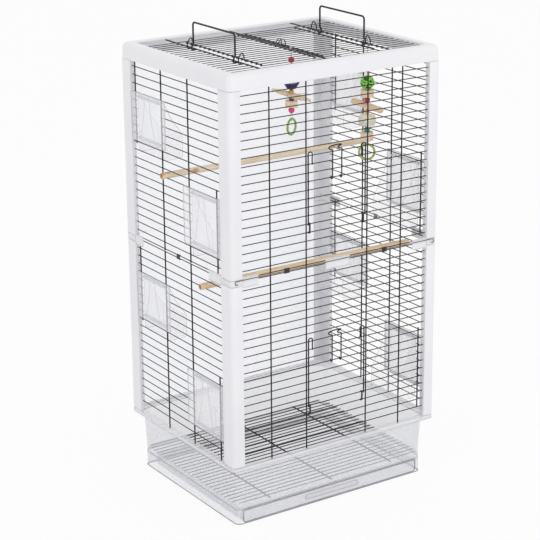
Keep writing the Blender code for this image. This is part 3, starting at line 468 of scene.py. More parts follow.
@dataclass(frozen=True)
class MouldedPlastic(Finish):
    """Opaque moulded plastic with a spark-eroded grain and slow shade changes."""

    colour: Colour = "#F4F4F6"
    deep: Colour = "#E9E9EE"
    rough: float = 0.3

    def paint(self, shader: Shader) -> bpy.types.Material:
        """Mixes the slow shade changes under the grain.

        Args:
            shader: The tree to build in.

        Returns:
            The material.
        """
        shade = shader.noise(9, 3)
        grain = shader.noise(1700, 3, rough=0.6)
        swirl = shader.noise(60, 2)
        return shader.surface(
            Base_Color=shader.mix(shade, self.colour, self.deep),
            Roughness=self.rough + swirl * 0.12,
            Normal=shader.bump(grain + swirl * 0.5, 0.00003, 0.5),
            Coat_Weight=0.12,
            Coat_Roughness=0.2)


@dataclass(frozen=True)
class ClearPlastic(Finish):
    """Clear moulded plastic as thin layers: a faint cool body with flow marks and light haze."""

    colour: Colour = "#E8E9EF"
    opacity: float = 0.46
    rough: float = 0.12

    def paint(self, shader: Shader) -> bpy.types.Material:
        """Lets a little of the body's colour show, more where the plastic flowed unevenly.

        Args:
            shader: The tree to build in.

        Returns:
            The material.
        """
        flow = shader.noise(11, 2, shader.coordinates((1, 1, 1.6)))
        scuffs = shader.noise(900, 3, shader.coordinates((1, 1, 0.2)), rough=0.7).between(0.64, 0.82)
        return shader.surface(
            Base_Color=shader.mix(flow * 0.4, self.colour, "#F1F1F6"),
            Roughness=self.rough + scuffs * 0.12,
            Alpha=(self.opacity * 0.92 + flow * (self.opacity * 0.16)) + scuffs * 0.01,
            Normal=shader.bump(flow, 0.00012, 0.4),
            IOR=1.49)


@dataclass(frozen=True)
class FrostedSheet(Finish):
    """The back sheets: pale translucent plastic with a soft haze and fine vertical flow lines."""

    def paint(self, shader: Shader) -> bpy.types.Material:
        """Gives the haze its slow changes and the flow lines their relief.

        Args:
            shader: The tree to build in.

        Returns:
            The material.
        """
        haze = shader.noise(7, 3)
        lines = shader.noise(260, 2, shader.coordinates((1, 1, 0.03)))
        return shader.surface(
            Base_Color=shader.mix(haze, "#F8F9FD", "#FDFDFF"),
            Roughness=0.34 + haze * 0.1,
            Normal=shader.bump(lines, 0.00005, 0.5),
            Transmission_Weight=0.94,
            IOR=1.2)


@dataclass(frozen=True)
class Timber(Finish):
    """Unfinished softwood: long grain, pores and, where it has them, small knots."""

    pale: Colour = "#F0DFC6"
    middle: Colour = "#E9D0AE"
    dark: Colour = "#D8AE82"
    grain: tuple[float, float, float] = (9.0, 190.0, 190.0)
    turn: tuple[float, float, float] = (0.0, 0.0, 0.0)
    knots: float = 0.0

    def paint(self, shader: Shader) -> bpy.types.Material:
        """Lays the grain along one axis and sets the knots into it.

        Args:
            shader: The tree to build in.

        Returns:
            The material.
        """
        along = shader.coordinates(self.grain, self.turn)
        bands = shader.noise(1.6, 5, along, 0.62, 0.9)
        pores = shader.noise(9, 3, along, 0.7)
        colour = shader.ramp(bands, ((0.3, self.pale), (0.52, self.middle), (0.72, self.dark)))
        colour = shader.mix(pores.between(0.58, 0.8) * 0.45, colour, self.dark)
        height = bands * 0.7 + pores * 0.5
        if self.knots:
            spots = shader.cells(self.knots, shader.coordinates((1, 1.7, 1.7), self.turn))
            knot = 1 - spots.between(0.1, 0.26)
            colour = shader.mix(knot * 0.75, colour, "#BE7B48")
            height = height - knot * 0.8
        return shader.surface(
            Base_Color=colour,
            Roughness=0.5 + pores * 0.25,
            Normal=shader.bump(height, 0.00016, 0.7))


@dataclass(frozen=True)
class DyedWood(Finish):
    """A dyed, lacquered wooden bead: grain showing faintly through a strong colour."""

    colour: Colour = "#C01F2F"
    lift: Colour = "#DA4A55"

    def paint(self, shader: Shader) -> bpy.types.Material:
        """Shows the grain in the dye and the lacquer over it.

        Args:
            shader: The tree to build in.

        Returns:
            The material.
        """
        grain = shader.noise(2.2, 4, shader.coordinates((420, 420, 60)), 0.6, 0.5)
        patches = shader.noise(260, 2)
        return shader.surface(
            Base_Color=shader.mix(grain.between(0.4, 0.75) * 0.5, self.colour, self.lift),
            Roughness=0.26 + patches * 0.16,
            Normal=shader.bump(grain, 0.00008, 0.5),
            Coat_Weight=0.35,
            Coat_Roughness=0.18)


@dataclass(frozen=True)
class Fibre(Finish):
    """Plant fibre or crinkled paper: fine strands in a main tone with pale and dark ones among them."""

    main: Colour = "#DDBE84"
    pale: Colour = "#F0DDB0"
    dark: Colour = "#B58A4C"
    strands: tuple[float, float, float] = (60.0, 900.0, 900.0)
    turn: tuple[float, float, float] = (0.0, 0.0, 0.0)
    rough: float = 0.72
    depth: float = 0.00025

    def paint(self, shader: Shader) -> bpy.types.Material:
        """Colours the strands one by one.

        Args:
            shader: The tree to build in.

        Returns:
            The material.
        """
        along = shader.coordinates(self.strands, self.turn)
        strand = shader.noise(1.0, 4, along, 0.65, 0.4)
        patches = shader.noise(150, 3)
        colour = shader.ramp(strand, ((0.3, self.dark), (0.48, self.main), (0.7, self.pale)))
        colour = shader.mix(patches.between(0.45, 0.75) * 0.5, colour, self.main)
        return shader.surface(
            Base_Color=colour,
            Roughness=self.rough + strand * 0.15,
            Normal=shader.bump(strand + patches * 0.3, self.depth, 0.8),
            Sheen_Weight=0.15)


class Finishes:
    """Every finish of the cage, by what it is on."""

    wire = PowderCoat("powder_coat")
    clip = PowderCoat("clip_coat", "#3C3C42", "#5E5E66")
    white = MouldedPlastic("moulded_white")
    clear = ClearPlastic("clear_body")
    clear_inner = ClearPlastic("clear_inner", "#F4F4F8", 0.04)
    # Painted shade: dark, nearly opaque plastic for the dark lines that refraction draws along clear
    # plastic's edges. It is on the tray's foot and fold, on the drawer opening's cut walls and round the
    # drawer's front.
    clear_edge_shade = ClearPlastic("clear_edge_shade", "#85868F", 0.8, 0.14)
    # Painted highlight: whiter, denser plastic on the tray's steps and rim and on the walls of the drawer's
    # hand slot.
    clear_lip_highlight = ClearPlastic("clear_lip_highlight", "#F0F0F4", 0.62, 0.12)
    # Painted shade: grey lines along the tray's folds, round the drawer's hand slot and notches, and on the
    # joint pieces' ridges.
    clear_line_shade = ClearPlastic("clear_line_shade", "#CBCCD4", 0.7, 0.12)
    cup = ClearPlastic("cup_body", "#FCFCFE", 0.11)
    # Painted shade: greyer plastic on the feeder plates' rims, edge beads, ribs and bars, and on the outlines
    # of the cups' cheeks.
    cup_edge_shade = ClearPlastic("cup_edge_shade", "#D6D7DE", 0.55)
    plate = ClearPlastic("plate_film", "#FCFCFF", 0.28)
    milky = ClearPlastic("milky_joint", "#F8F8FA", 0.74, 0.2)
    sheet = FrostedSheet("frosted_sheet")
    perch = Timber("perch_wood", "#F5E9D8", "#EDDBC0", "#DFBE97", knots=26.0)
    perch_low = Timber("perch_wood_low", "#F4E2C8", "#EDD3B0", "#DAAE82", knots=28.0)
    perch_end = Timber("perch_end_grain", "#D08C58", "#B87243", "#5E3219", (260.0, 260.0, 260.0))
    block = Timber("block_wood", "#F6E2CC", "#EFD2B4", "#DCB48F", (200.0, 200.0, 14.0))
    stick = Timber("stick_wood", "#F2DDC5", "#E9CDAF", "#D6AD87", (12.0, 200.0, 200.0),
                   (0, 0, -TOY_TURN))
    straw = Fibre("woven_straw", "#F0DDB6", "#FBF3DE", "#A97A42", turn=(0, 0, -TOY_TURN))
    loofah = Fibre("loofah_fibre", "#F8F3E4", "#FEFCF5", "#E9DFC6", (500, 500, 300), rough=0.8)
    vine = Fibre("dyed_vine", "#8EE244", "#B6F57C", "#4BA827", (700, 700, 700), rough=0.45)
    # Painted shade: dark green for the ball's inner bands, in place of the shade inside the hollow ball.
    vine_inner_shade = Fibre("vine_painted_shade", "#245F12", "#3E8A22", "#123A08", (700, 700, 700), rough=0.6)
    fringe = Fibre("crinkled_fringe", "#3A2464", "#5B4391", "#1C1038", (600, 600, 120), rough=0.45)
    cord = Fibre("twisted_string", "#E3E0D8", "#F3F1EA", "#BDB8AB", (900, 900, 2600), rough=0.7)
    red = DyedWood("bead_red")
    teal = DyedWood("bead_teal", "#178A7B", "#3FB0A2")
    yellow = DyedWood("bead_yellow", "#DDB11E", "#EFD05C")
    gold = DyedWood("bead_gold", "#C99A22", "#E0BC5B")
    magenta = DyedWood("bead_magenta", "#DB2F80", "#EC6BA8")
    violet = DyedWood("bead_violet", "#35205C", "#5A428C")
    leaf_ring = DyedWood("ring_leaf_green", "#82AE45", "#A3C968")
    olive_ring = DyedWood("ring_olive", "#9AAE55", "#BBCA7C")


def arc(centre: Sequence[float], radius: float, start: float, end: float, steps: int,
        across: Vector, up: Vector) -> Loop:
    """Gives points on an arc.

    Args:
        centre: The arc's middle.
        radius: Its radius.
        start: First angle in degrees, from across towards up.
        end: Last angle in degrees.
        steps: How many steps are between them.
        across: Unit vector at angle zero.
        up: Unit vector at a quarter turn.

    Returns:
        The points, both ends included.
    """
    angles = [radians(start + (end - start) * k / steps) for k in range(steps + 1)]
    return [Vector(centre) + radius * (cos(a) * across + sin(a) * up) for a in angles]


def smooth_path(points: Points, steps: int = 5) -> Loop:
    """Runs one smooth curve through the given points.

    Args:
        points: The points that the wire passes.
        steps: How many short runs each gap is cut into.

    Returns:
        The finer path.
    """
    given = [Vector(p) for p in points]
    padded = [2 * given[0] - given[1], *given, 2 * given[-1] - given[-2]]
    path = []
    for before, start, end, after in zip(padded, padded[1:], padded[2:], padded[3:]):
        slope = end - before
        bend = 2 * before - 5 * start + 4 * end - after
        twist = 3 * start - before - 3 * end + after
        for k in range(steps):
            t = k / steps
            path.append(0.5 * (2 * start + slope * t + bend * t ** 2 + twist * t ** 3))
    return path + [given[-1]]


def rounded_loop(half_x: float, half_y: float, radius: float, z: float, steps: int = 8) -> Loop:
    """Gives a rounded rectangle, counter-clockwise seen from above.

    Args:
        half_x: Half its size along X.
        half_y: Half its size along Y.
        radius: Radius of its corners.
        z: Its height.
        steps: Steps in each corner.

    Returns:
        The points.
    """
    points = []
    for corner, (sx, sy) in enumerate(CORNERS):
        centre = (sx * (half_x - radius), sy * (half_y - radius), z)
        points += arc(centre, radius, 90 * corner, 90 * corner + 90, steps, X, Y)
    return points


def mirrored(path: Loop, axis: Vector) -> Loop:
    """Mirrors a path across the cage's middle along that axis, and runs it backwards."""
    return [p - 2 * p.dot(axis) * axis for p in reversed(path)]


def heading(azimuth: float, elevation: float) -> Vector:
    """Gives the direction from the cage to a place round it.

    Args:
        azimuth: Degrees from straight in front, positive to the right.
        elevation: Degrees above the floor.

    Returns:
        The unit vector.
    """
    az, el = radians(azimuth), radians(elevation)
    return Vector((sin(az) * cos(el), -cos(az) * cos(el), sin(el)))


def toy_tilt(about_y: float, about_x: float) -> Matrix:
    """The toys' own turn, followed by turns of that many degrees about Y and X."""
    turn = Matrix.Rotation(TOY_TURN, 4, "Z") @ Matrix.Rotation(radians(about_y), 4, "Y")
    return turn @ Matrix.Rotation(radians(about_x), 4, "X")


def add_object(name: str, data: bpy.types.ID) -> bpy.types.Object:
    """Adds an object to the scene.

    Args:
        name: Its name.
        data: Its mesh, lamp or camera.

    Returns:
        The object.
    """
    made = bpy.data.objects.new(name, data)
    bpy.context.scene.collection.objects.link(made)
    return made


class Sketch:
    """Collects the points and faces of one piece and turns them into an object."""

    def __init__(self, place: Matrix | None = None) -> None:
        """Starts an empty piece.

        Args:
            place: The matrix from its own coordinates to the cage's.
        """
        self.place = place or Matrix.Identity(4)
        self.points: Loop = []
        self.faces: list[tuple[int, ...]] = []
        self.marks: list[int] = []
        self.cutters: list[Sketch] = []

    def loft(self, loops: Sequence[Points], marks: int | Sequence[int] = 0, closed: bool = False) -> None:
        """Bridges equal loops of points.

        Args:
            loops: The loops in order.
            marks: Number of the finish, or one number for each band between two loops.
            closed: Whether the last loop joins the first; otherwise both ends are capped.
        """
        base, size, count = len(self.points), len(loops[0]), len(loops)
        self.points += [self.place @ Vector(p) for loop in loops for p in loop]
        bands = count if closed else count - 1
        each = [marks] * bands if isinstance(marks, int) else list(marks)
        for row in range(bands):
            here, there = base + row * size, base + (row + 1) % count * size
            for i in range(size):
                j = (i + 1) % size
                self.faces.append((here + i, here + j, there + j, there + i))
                self.marks.append(each[row])
        if not closed:
            self.faces.append(tuple(reversed(range(base, base + size))))
            self.faces.append(tuple(range(base + (count - 1) * size, base + count * size)))
            self.marks += [each[0], each[-1]]

    def tube(self, path: Points, radius: float | Sequence[float], sides: int = 8, mark: int = 0,
             closed: bool = False, flat: float = 1.0) -> None:
        """Sweeps a round or flattened section along a path, with rounded ends.

        Args:
            path: The section's centres.
            radius: The radius, or one for each point.
            sides: How many sides the section has.
            mark: Number of the finish.
            closed: Whether the path ends where it starts, without repeating the point.
            flat: Height of the section over its width.
        """
        points = [Vector(p) for p in path]
        count = len(points)
        radii = [radius] * count if isinstance(radius, (int, float)) else list(radius)
        tangents = []
        for i in range(count):
            before = points[i - 1] if i or closed else points[i]
            after = points[(i + 1) % count] if i < count - 1 or closed else points[i]
            tangents.append((after - before).normalized())
        normal = tangents[0].orthogonal().normalized()
        if abs(tangents[0].z) < 0.99:
            normal = (Z - tangents[0] * tangents[0].z).normalized()
        sections = []
        for i in range(count):
            if i:
                normal = tangents[i - 1].rotation_difference(tangents[i]) @ normal
            sections.append((points[i], tangents[i], normal.copy(), radii[i]))
        if not closed:
            start, end = sections[0], sections[-1]
            lead = [(p - t * r * a, t, n, r * b) for a, b in TUBE_CAPS for p, t, n, r in (start,)]
            tail = [(p + t * r * a, t, n, r * b) for a, b in reversed(TUBE_CAPS) for p, t, n, r in (end,)]
            sections = lead + sections + tail
        loops = []
        for centre, tangent, up, reach in sections:
            side = tangent.cross(up)
            loop = []
            for k in range(sides):
                angle = 2 * pi * (k + 0.5) / sides
                loop.append(centre + reach * (cos(angle) * side + sin(angle) * flat * up))
            loops.append(loop)
        self.loft(loops, mark, closed)

    def turned(self, profile: Sequence[tuple[float, float]], steps: int = 24, closed: bool = False) -> None:
        """Turns (radius, z) points about a vertical axis.

        Args:
            profile: The points from the bottom up, or round a bored section where closed.
            steps: Steps round the axis.
            closed: Whether the profile closes on itself.
        """
        loops = [arc(Z * z, r, 0, 360 * (1 - 1 / steps), steps - 1, X, Y) for r, z in profile]
        self.loft(loops, closed=closed)

    def ball(self, centre: Sequence[float], radii: Sequence[float], steps: int, rings: int) -> None:
        """Draws a rounded lump, such as a drop of weld.

        Args:
            centre: Its middle.
            radii: Its reach along X, Y and Z.
            steps: Steps round it.
            rings: Steps from pole to pole.
        """
        middle = Vector(centre)
        loops = []
        for k in range(rings):
            angle = pi * ((k + 0.5) / rings - 0.5)
            ring = arc((0, 0, 0), cos(angle), 0, 360 * (1 - 1 / steps), steps - 1, X, Y)
            z = sin(angle) * radii[2]
            loops.append([middle + Vector((p.x * radii[0], p.y * radii[1], z)) for p in ring])
        self.loft(loops)

    def slab(self, outline: Sequence[tuple[float, float]], low: float, high: float,
             marks: Sequence[int] = (0, 0)) -> None:
        """Extrudes a counter-clockwise outline along its own Z.

        Args:
            outline: The outline's points.
            low: Where the slab starts.
            high: Where it ends.
            marks: Numbers of the finishes on its faces and on its rim.
        """
        self.loft([[(x, y, low) for x, y in outline], [(x, y, high) for x, y in outline]], marks[1])
        self.marks[-2:] = [marks[0], marks[0]]

    def box(self, low: Sequence[float], high: Sequence[float], mark: int = 0) -> None:
        """Draws an upright plate or bar.

        Args:
            low: Its lowest corner.
            high: Its highest corner.
            mark: Number of the finish.
        """
        middle = ((low[0] + high[0]) / 2, (low[1] + high[1]) / 2)
        half = ((high[0] - low[0]) / 2, (high[1] - low[1]) / 2)
        outline = [(sx * half[0] + middle[0], sy * half[1] + middle[1]) for sx, sy in CORNERS]
        self.loft([[(x, y, z) for x, y in outline] for z in (low[2], high[2])], mark)

    def strip(self, path: Points, across: Vector, width: float, thick: float) -> None:
        """Sweeps a flat strip along a path.

        Args:
            path: The strip's middle line.
            across: Unit vector across its width.
            width: Its width.
            thick: Its thickness.
        """
        points = [Vector(p) for p in path]
        corners = ((0.5, 0.32), (0.42, 0.5), (-0.42, 0.5), (-0.5, 0.32), (-0.5, -0.32), (-0.42, -0.5),
                   (0.42, -0.5), (0.5, -0.32))
        loops = []
        for i, point in enumerate(points):
            run = points[min(i + 1, len(points) - 1)] - points[max(i - 1, 0)]
            up = across.cross(run.normalized())
            loops.append([point + across * (width * u) + up * (thick * v) for u, v in corners])
        self.loft(loops)

    def lattice(self, rows: Rows, uprights: Rows, row_wire: float = CAGE.row_wire) -> None:
        """Draws a welded grille of round wires in its own XY plane.

        The rows lie under z = 0 along X and the uprights above it along Y, with a drop of weld where
        two of them cross.

        Args:
            rows: (y, x0, x1) of each row.
            uprights: (x, y0, y1) of each upright.
            row_wire: Diameter of the rows.
        """
        thin, thick = row_wire * WIRE_RADIUS, CAGE.upright_wire * WIRE_RADIUS
        thin_end, thick_end = thin * TUBE_CAPS[0][0], thick * TUBE_CAPS[0][0]
        for x, y0, y1 in uprights:
            self.tube(((x, y0 + thick_end, thick), (x, y1 - thick_end, thick)), thick, 10)
        for y, x0, x1 in rows:
            self.tube(((x0 + thin_end, y, -thin), (x1 - thin_end, y, -thin)), thin)
            for x, y0, y1 in uprights:
                if x0 < x < x1 and y0 < y < y1:
                    self.ball((x, y, 0), (thick * 1.15, thin * 1.35, thin * 1.1), 8, 3)

    def mesh(self, name: str, finishes: Sequence[Finish]) -> bpy.types.Mesh:
        """Makes a mesh with its normals outward.

        Args:
            name: Name of the mesh.
            finishes: Its finishes, by the numbers on its faces.

        Returns:
            The mesh, dressed in the finishes.
        """
        made = bpy.data.meshes.new(name)
        made.from_pydata(self.points, [], self.faces)
        made.polygons.foreach_set("material_index", self.marks)
        shape = bmesh.new()
        shape.from_mesh(made)
        bmesh.ops.recalc_face_normals(shape, faces=shape.faces)
        shape.to_mesh(made)
        shape.free()
        for finish in finishes:
            made.materials.append(finish.material())
        return made

    def piece(self, name: str, finishes: Sequence[Finish], body: str, replaces: Sequence[str] = (),
              slot: str = "", angle: float = 35.0, ease: float = 0.0) -> bpy.types.Object:
        """Turns the sketch into a piece of the cage.

        Args:
            name: Name of the piece.
            finishes: Its finishes, by the numbers on its faces.
            body: The CAD body that it rides on.
            replaces: The CAD nodes that it stands for.
            slot: The record's material slot for its finish; not used.
            angle: Edges sharper than this many degrees stay crisp.
            ease: Width of the round on its sharp edges.

        Returns:
            The object.
        """
        made = add_object(name, self.mesh(name, finishes))
        helpers = []
        for k, cutter in enumerate(self.cutters):
            helper = add_object(f"{name}_cut{k}", cutter.mesh(f"{name}_cut{k}", finishes))
            helpers.append(helper)
            cut = made.modifiers.new("cut", "BOOLEAN")
            cut.operation, cut.solver, cut.object = "DIFFERENCE", "EXACT", helper
        if ease:
            round_edges = made.modifiers.new("ease", "BEVEL")
            round_edges.width, round_edges.segments = ease, 2
            round_edges.limit_method, round_edges.angle_limit = "ANGLE", radians(40)
            round_edges.use_clamp_overlap = True
        if made.modifiers:
            graph = bpy.context.evaluated_depsgraph_get()
            rough = made.data
            made.data = bpy.data.meshes.new_from_object(made.evaluated_get(graph))
            made.modifiers.clear()
            bpy.data.meshes.remove(rough)
        for helper in helpers:
            bpy.data.meshes.remove(helper.data)
        made.data.name = name
        made.data.shade_smooth()
        made.data.set_sharp_from_angle(angle=radians(angle))
        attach(made, body)
        if replaces:
            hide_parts(*replaces)
        LOG.info("%s: %d faces on %s", name, len(made.data.polygons), body)
        return made


@dataclass
class WireWalls:
    """The welded wire walls of both sections, open at the doors and the feeders."""

    def front_rows(self, section: Section) -> Rows:
        """Lists the front wall's rows, cut short beside the door.

        Args:
            section: The section whose wall it is.

        Returns:
            Height and both ends of each row.
        """
        half = CAGE.width / 2 - CAGE.front_leaf - CAGE.gap
        reach = CAGE.front_uprights[1] - CAGE.overrun
        rows = [(CAGE.edge_row_z(section), -half, half)]
        for number in range(CAGE.rows):
            z = CAGE.row_z(section, number)
            if CAGE.door_top_row < number < CAGE.door_foot_row:
                rows += [(z, -half, -reach), (z, reach, half)]
            else:
                rows.append((z, -half, half))
        return rows

    def side_rows(self, section: Section, front: int) -> Rows:
        """Lists a side wall's rows, cut short at its two feeder openings.

        Args:
            section: The section whose wall it is.
            front: Sign of the wall's own X that points to the cage's front.

        Returns:
            Height and both ends of each row.
        """
        half = CAGE.depth / 2 - CAGE.side_leaf - CAGE.gap
        outer, inner = CAGE.side_uprights
        rows = [(CAGE.edge_row_z(section), -half, half)]
        for number in range(CAGE.rows):
            z, cut = CAGE.row_z(section, number), 0
            if CAGE.rear_opening[0] < number < CAGE.rear_opening[1]:
                cut = -front
            if CAGE.front_opening[0] < number < CAGE.front_opening[1]:
                cut = front
            if cut:
                near, far = cut * (inner + CAGE.overrun), cut * (outer - CAGE.overrun)
                rows += [(z, *sorted(ends)) for ends in ((-cut * half, near), (far, cut * half))]
            else:
                rows.append((z, -half, half))
        return rows

    def front(self, section: Section) -> None:
        """Builds a front wall.

        Args:
            section: The section whose wall it is.
        """
        low, high = CAGE.upright_span(section)
        uprights = [(s * x, low, high) for x in CAGE.front_uprights for s in (-1, 1)]
        sketch = Sketch(CAGE.wall_place(Wall.FRONT))
        sketch.lattice(self.front_rows(section), uprights)
        name = f"{section.value}_front"
        sketch.piece(f"{name}_grille", [Finishes.wire], "frame", [f"{name}_wires"], "dark_wire")

    def side(self, section: Section, side: Side) -> None:
        """Builds a side wall.

        Args:
            section: The section whose wall it is.
            side: The side that it closes.
        """
        front = -side.sign
        outer, inner = CAGE.side_uprights
        low, high = CAGE.upright_span(section)
        uprights = [(-inner, low, high), (inner, low, high)]
        rear_foot = CAGE.row_z(section, CAGE.rear_opening[1]) - CAGE.overrun
        front_top = CAGE.row_z(section, CAGE.front_opening[0] - 1) + CAGE.overrun
        uprights += [(-front * outer, rear_foot, high), (front * outer, low, front_top)]
        sketch = Sketch(CAGE.wall_place(Wall.LEFT if side is Side.LEFT else Wall.RIGHT))
        sketch.lattice(self.side_rows(section, front), uprights)
        name = f"{section.value}_{side.value}"
        sketch.piece(f"{name}_grille", [Finishes.wire], "frame", [f"{name}_wires"], "dark_wire")

    def build(self) -> None:
        """Builds all six walls."""
        for section in Section:
            self.front(section)
            for side in Side:
                self.side(section, side)


@dataclass
class Door:
    """A wire door that folds down, with its hooks, hinge straps and sprung latch."""

    section: Section
    gap: float = 0.0008
    overrun: float = 0.0014
    hook_wire: float = 0.00118
    hook_radius: float = 0.0045
    hook_leg: float = 0.018
    strap_offset: float = 0.0590
    strap_width: float = 0.0034
    latch_wire: float = 0.0018
    latch_half: float = 0.010
    latch_row: int = 11
    latch_bend: float = 0.0032

    def place(self, row: int) -> Matrix:
        """The matrix to a frame whose origin is on a row's axis, with the cage's own directions."""
        axis_y = -CAGE.depth / 2 + CAGE.wire_plane + CAGE.row_wire / 2
        return at(0, axis_y, CAGE.row_z(self.section, row))

    def leaf(self) -> None:
        """Builds the door itself, its two top hooks and its two hinge straps."""
        foot = CAGE.row_z(self.section, CAGE.door_foot_row)
        half = CAGE.front_uprights[1] - CAGE.upright_wire - self.gap
        edge = half - self.overrun
        numbers = range(CAGE.door_top_row + 1, CAGE.door_foot_row)
        rows = [(CAGE.row_z(self.section, n) - foot, -half, half) for n in numbers]
        low, high = rows[-1][0] - CAGE.overrun, rows[0][0] + CAGE.overrun
        sketch = Sketch(CAGE.wall_place(Wall.FRONT, z=foot))
        sketch.lattice(rows, [(-edge, low, high), (edge, low, high)])
        sketch.place = self.place(CAGE.door_foot_row)
        front = -(CAGE.upright_wire + CAGE.row_wire) / 2
        for s in (-1, 1):
            path = [Vector((s * edge, front, high - 0.006)), Vector((s * edge, front, high - 0.001))]
            path += arc((s * (edge - self.hook_radius), front, high), self.hook_radius, 0, 180, 14, s * X, Z)
            x = s * (edge - 2 * self.hook_radius)
            path += [Vector((x + s * 0.0006, front - 0.0002, high - self.hook_leg * 0.5)),
                     Vector((x, front, high - self.hook_leg))]
            sketch.tube(smooth_path(path, 2), self.hook_wire, 10)
            wrap, seat = 0.0019, rows[-1][0]
            strap = arc((s * self.strap_offset, 0, 0), wrap, 25, -180, 12, Y, Z)
            strap += arc((s * self.strap_offset, 0, seat), wrap, 180, 20, 10, Y, Z)
            sketch.strip(strap, X, self.strap_width, 0.0009)
        name = f"{self.section.value}_door"
        sketch.piece(f"{name}_leaf", [Finishes.wire], name, [name], "dark_wire")

    def latch(self) -> None:
        """Builds the latch: two legs that hang on a row of the door and a bent loop above its top row."""
        top = CAGE.row_z(self.section, CAGE.door_top_row + 1) - CAGE.row_z(self.section, self.latch_row)
        radius = self.latch_wire * 0.66
        reach = CAGE.row_wire / sqrt(2) + CAGE.gap + radius
        half, front, out = self.latch_half, -reach, -reach - self.latch_bend
        bends = [(-half, front, top - 0.004), (-half, front, top + 0.003),
                 (-half - 0.0072, out, top + 0.0058), (-half - 0.0105, out, top + 0.0095),
                 (-half - 0.0030, out, top + 0.0126), (half - 0.0110, out, top + 0.0131),
                 (half - 0.0030, out, top + 0.0124), (half - 0.0100, out, top + 0.0094),
                 (half - 0.0080, out * 0.8, top + 0.0062), (half, front, top + 0.0036),
                 (half, front, top - 0.004)]
        path = arc((-half, 0, 0), reach, 30, -170, 14, Y, Z) + [Vector((-half, front, 0.004))]
        path += smooth_path(bends, 5) + [Vector((half, front, 0.004))]
        path += arc((half, 0, 0), reach, -170, 30, 14, Y, Z)
        sketch = Sketch(self.place(self.latch_row))
        sketch.tube(path, radius, 10)
        name = f"{self.section.value}_door_latch"
        sketch.piece(f"{name}_wire", [Finishes.wire], name, [name], "dark_wire")

    def build(self) -> None:
        """Builds the door and its latch."""
        self.leaf()
        self.latch()


@dataclass
class Posts:
    """The white angle posts, four for each section."""

    thick: float = 0.007
    round: float = 0.008
    ease: float = 0.0007

    def outline(self, sx: int, sy: int) -> list[tuple[float, float]]:
        """Gives the angle section with its rounded outer corner, counter-clockwise.

        Args:
            sx: Sign of the corner along X.
            sy: Sign of the corner along Y.

        Returns:
            The outline's points.
        """
        front, side = CAGE.front_leaf, CAGE.side_leaf
        points = [(front, 0.0), (front, self.thick), (self.thick + 0.002, self.thick)]
        points += [(self.thick, self.thick + 0.002), (self.thick, side), (0.0, side)]
        for k in range(13):
            angle = radians(180 + 90 * k / 12)
            points.append((self.round * (1 + cos(angle)), self.round * (1 + sin(angle))))
        placed = [(sx * (CAGE.width / 2 - x), sy * (CAGE.depth / 2 - y)) for x, y in points]
        return placed if sx * sy > 0 else placed[::-1]

    def build(self) -> None:
        """Builds the eight posts."""
        for section, side, end in product(Section, Side, End):
            sketch = Sketch()
            sketch.slab(self.outline(side.sign, end.sign), *CAGE.post_span(section))
            name = f"{section.value}_post_{end.value}_{side.value}"
            sketch.piece(f"{name}_moulding", [Finishes.white], "frame", [name], "white_plastic",
                         ease=self.ease)


@dataclass
class TopRing:
    """The white ring round the roof, with a soft shoulder and a thin lip at its foot."""

    rim: float = 0.020
    wall: float = 0.003
    lip: float = 0.0005
    shoulder_in: float = 0.0085
    shoulder_drop: float = 0.0115
    corner: float = 0.012

    def build(self) -> None:
        """Builds the ring as one band round the cage."""
        foot, top, wall = CAGE.ring_foot + CAGE.gap, CAGE.top, self.wall
        profile = [(-self.lip + 0.0004, foot), (-self.lip, foot + 0.0006), (-self.lip, foot + 0.0022)]
        profile.append((0.0, foot + 0.0030))
        for k in range(9):
            angle = radians(90 * k / 8)
            inset, drop = self.shoulder_in * (1 - cos(angle)), self.shoulder_drop * (1 - sin(angle))
            profile.append((inset, top - drop))
        profile += [(self.rim - 0.0016, top), (self.rim - 0.0005, top - 0.0004), (self.rim, top - 0.0014)]
        profile += [(self.rim, top - wall), (0.0105, top - wall), (0.0062, top - 0.0052)]
        profile += [(0.0040, top - 0.0085), (wall, top - 0.0125), (wall, foot)]
        loops = []
        for inset, z in profile:
            corner = max(self.corner - inset, wall)
            loops.append(rounded_loop(CAGE.width / 2 - inset, CAGE.depth / 2 - inset, corner, z, 10))
        sketch = Sketch()
        sketch.loft(loops, closed=True)
        sketch.piece("top_ring_moulding", [Finishes.white], "frame", ["top_ring"], "white_plastic", angle=50)


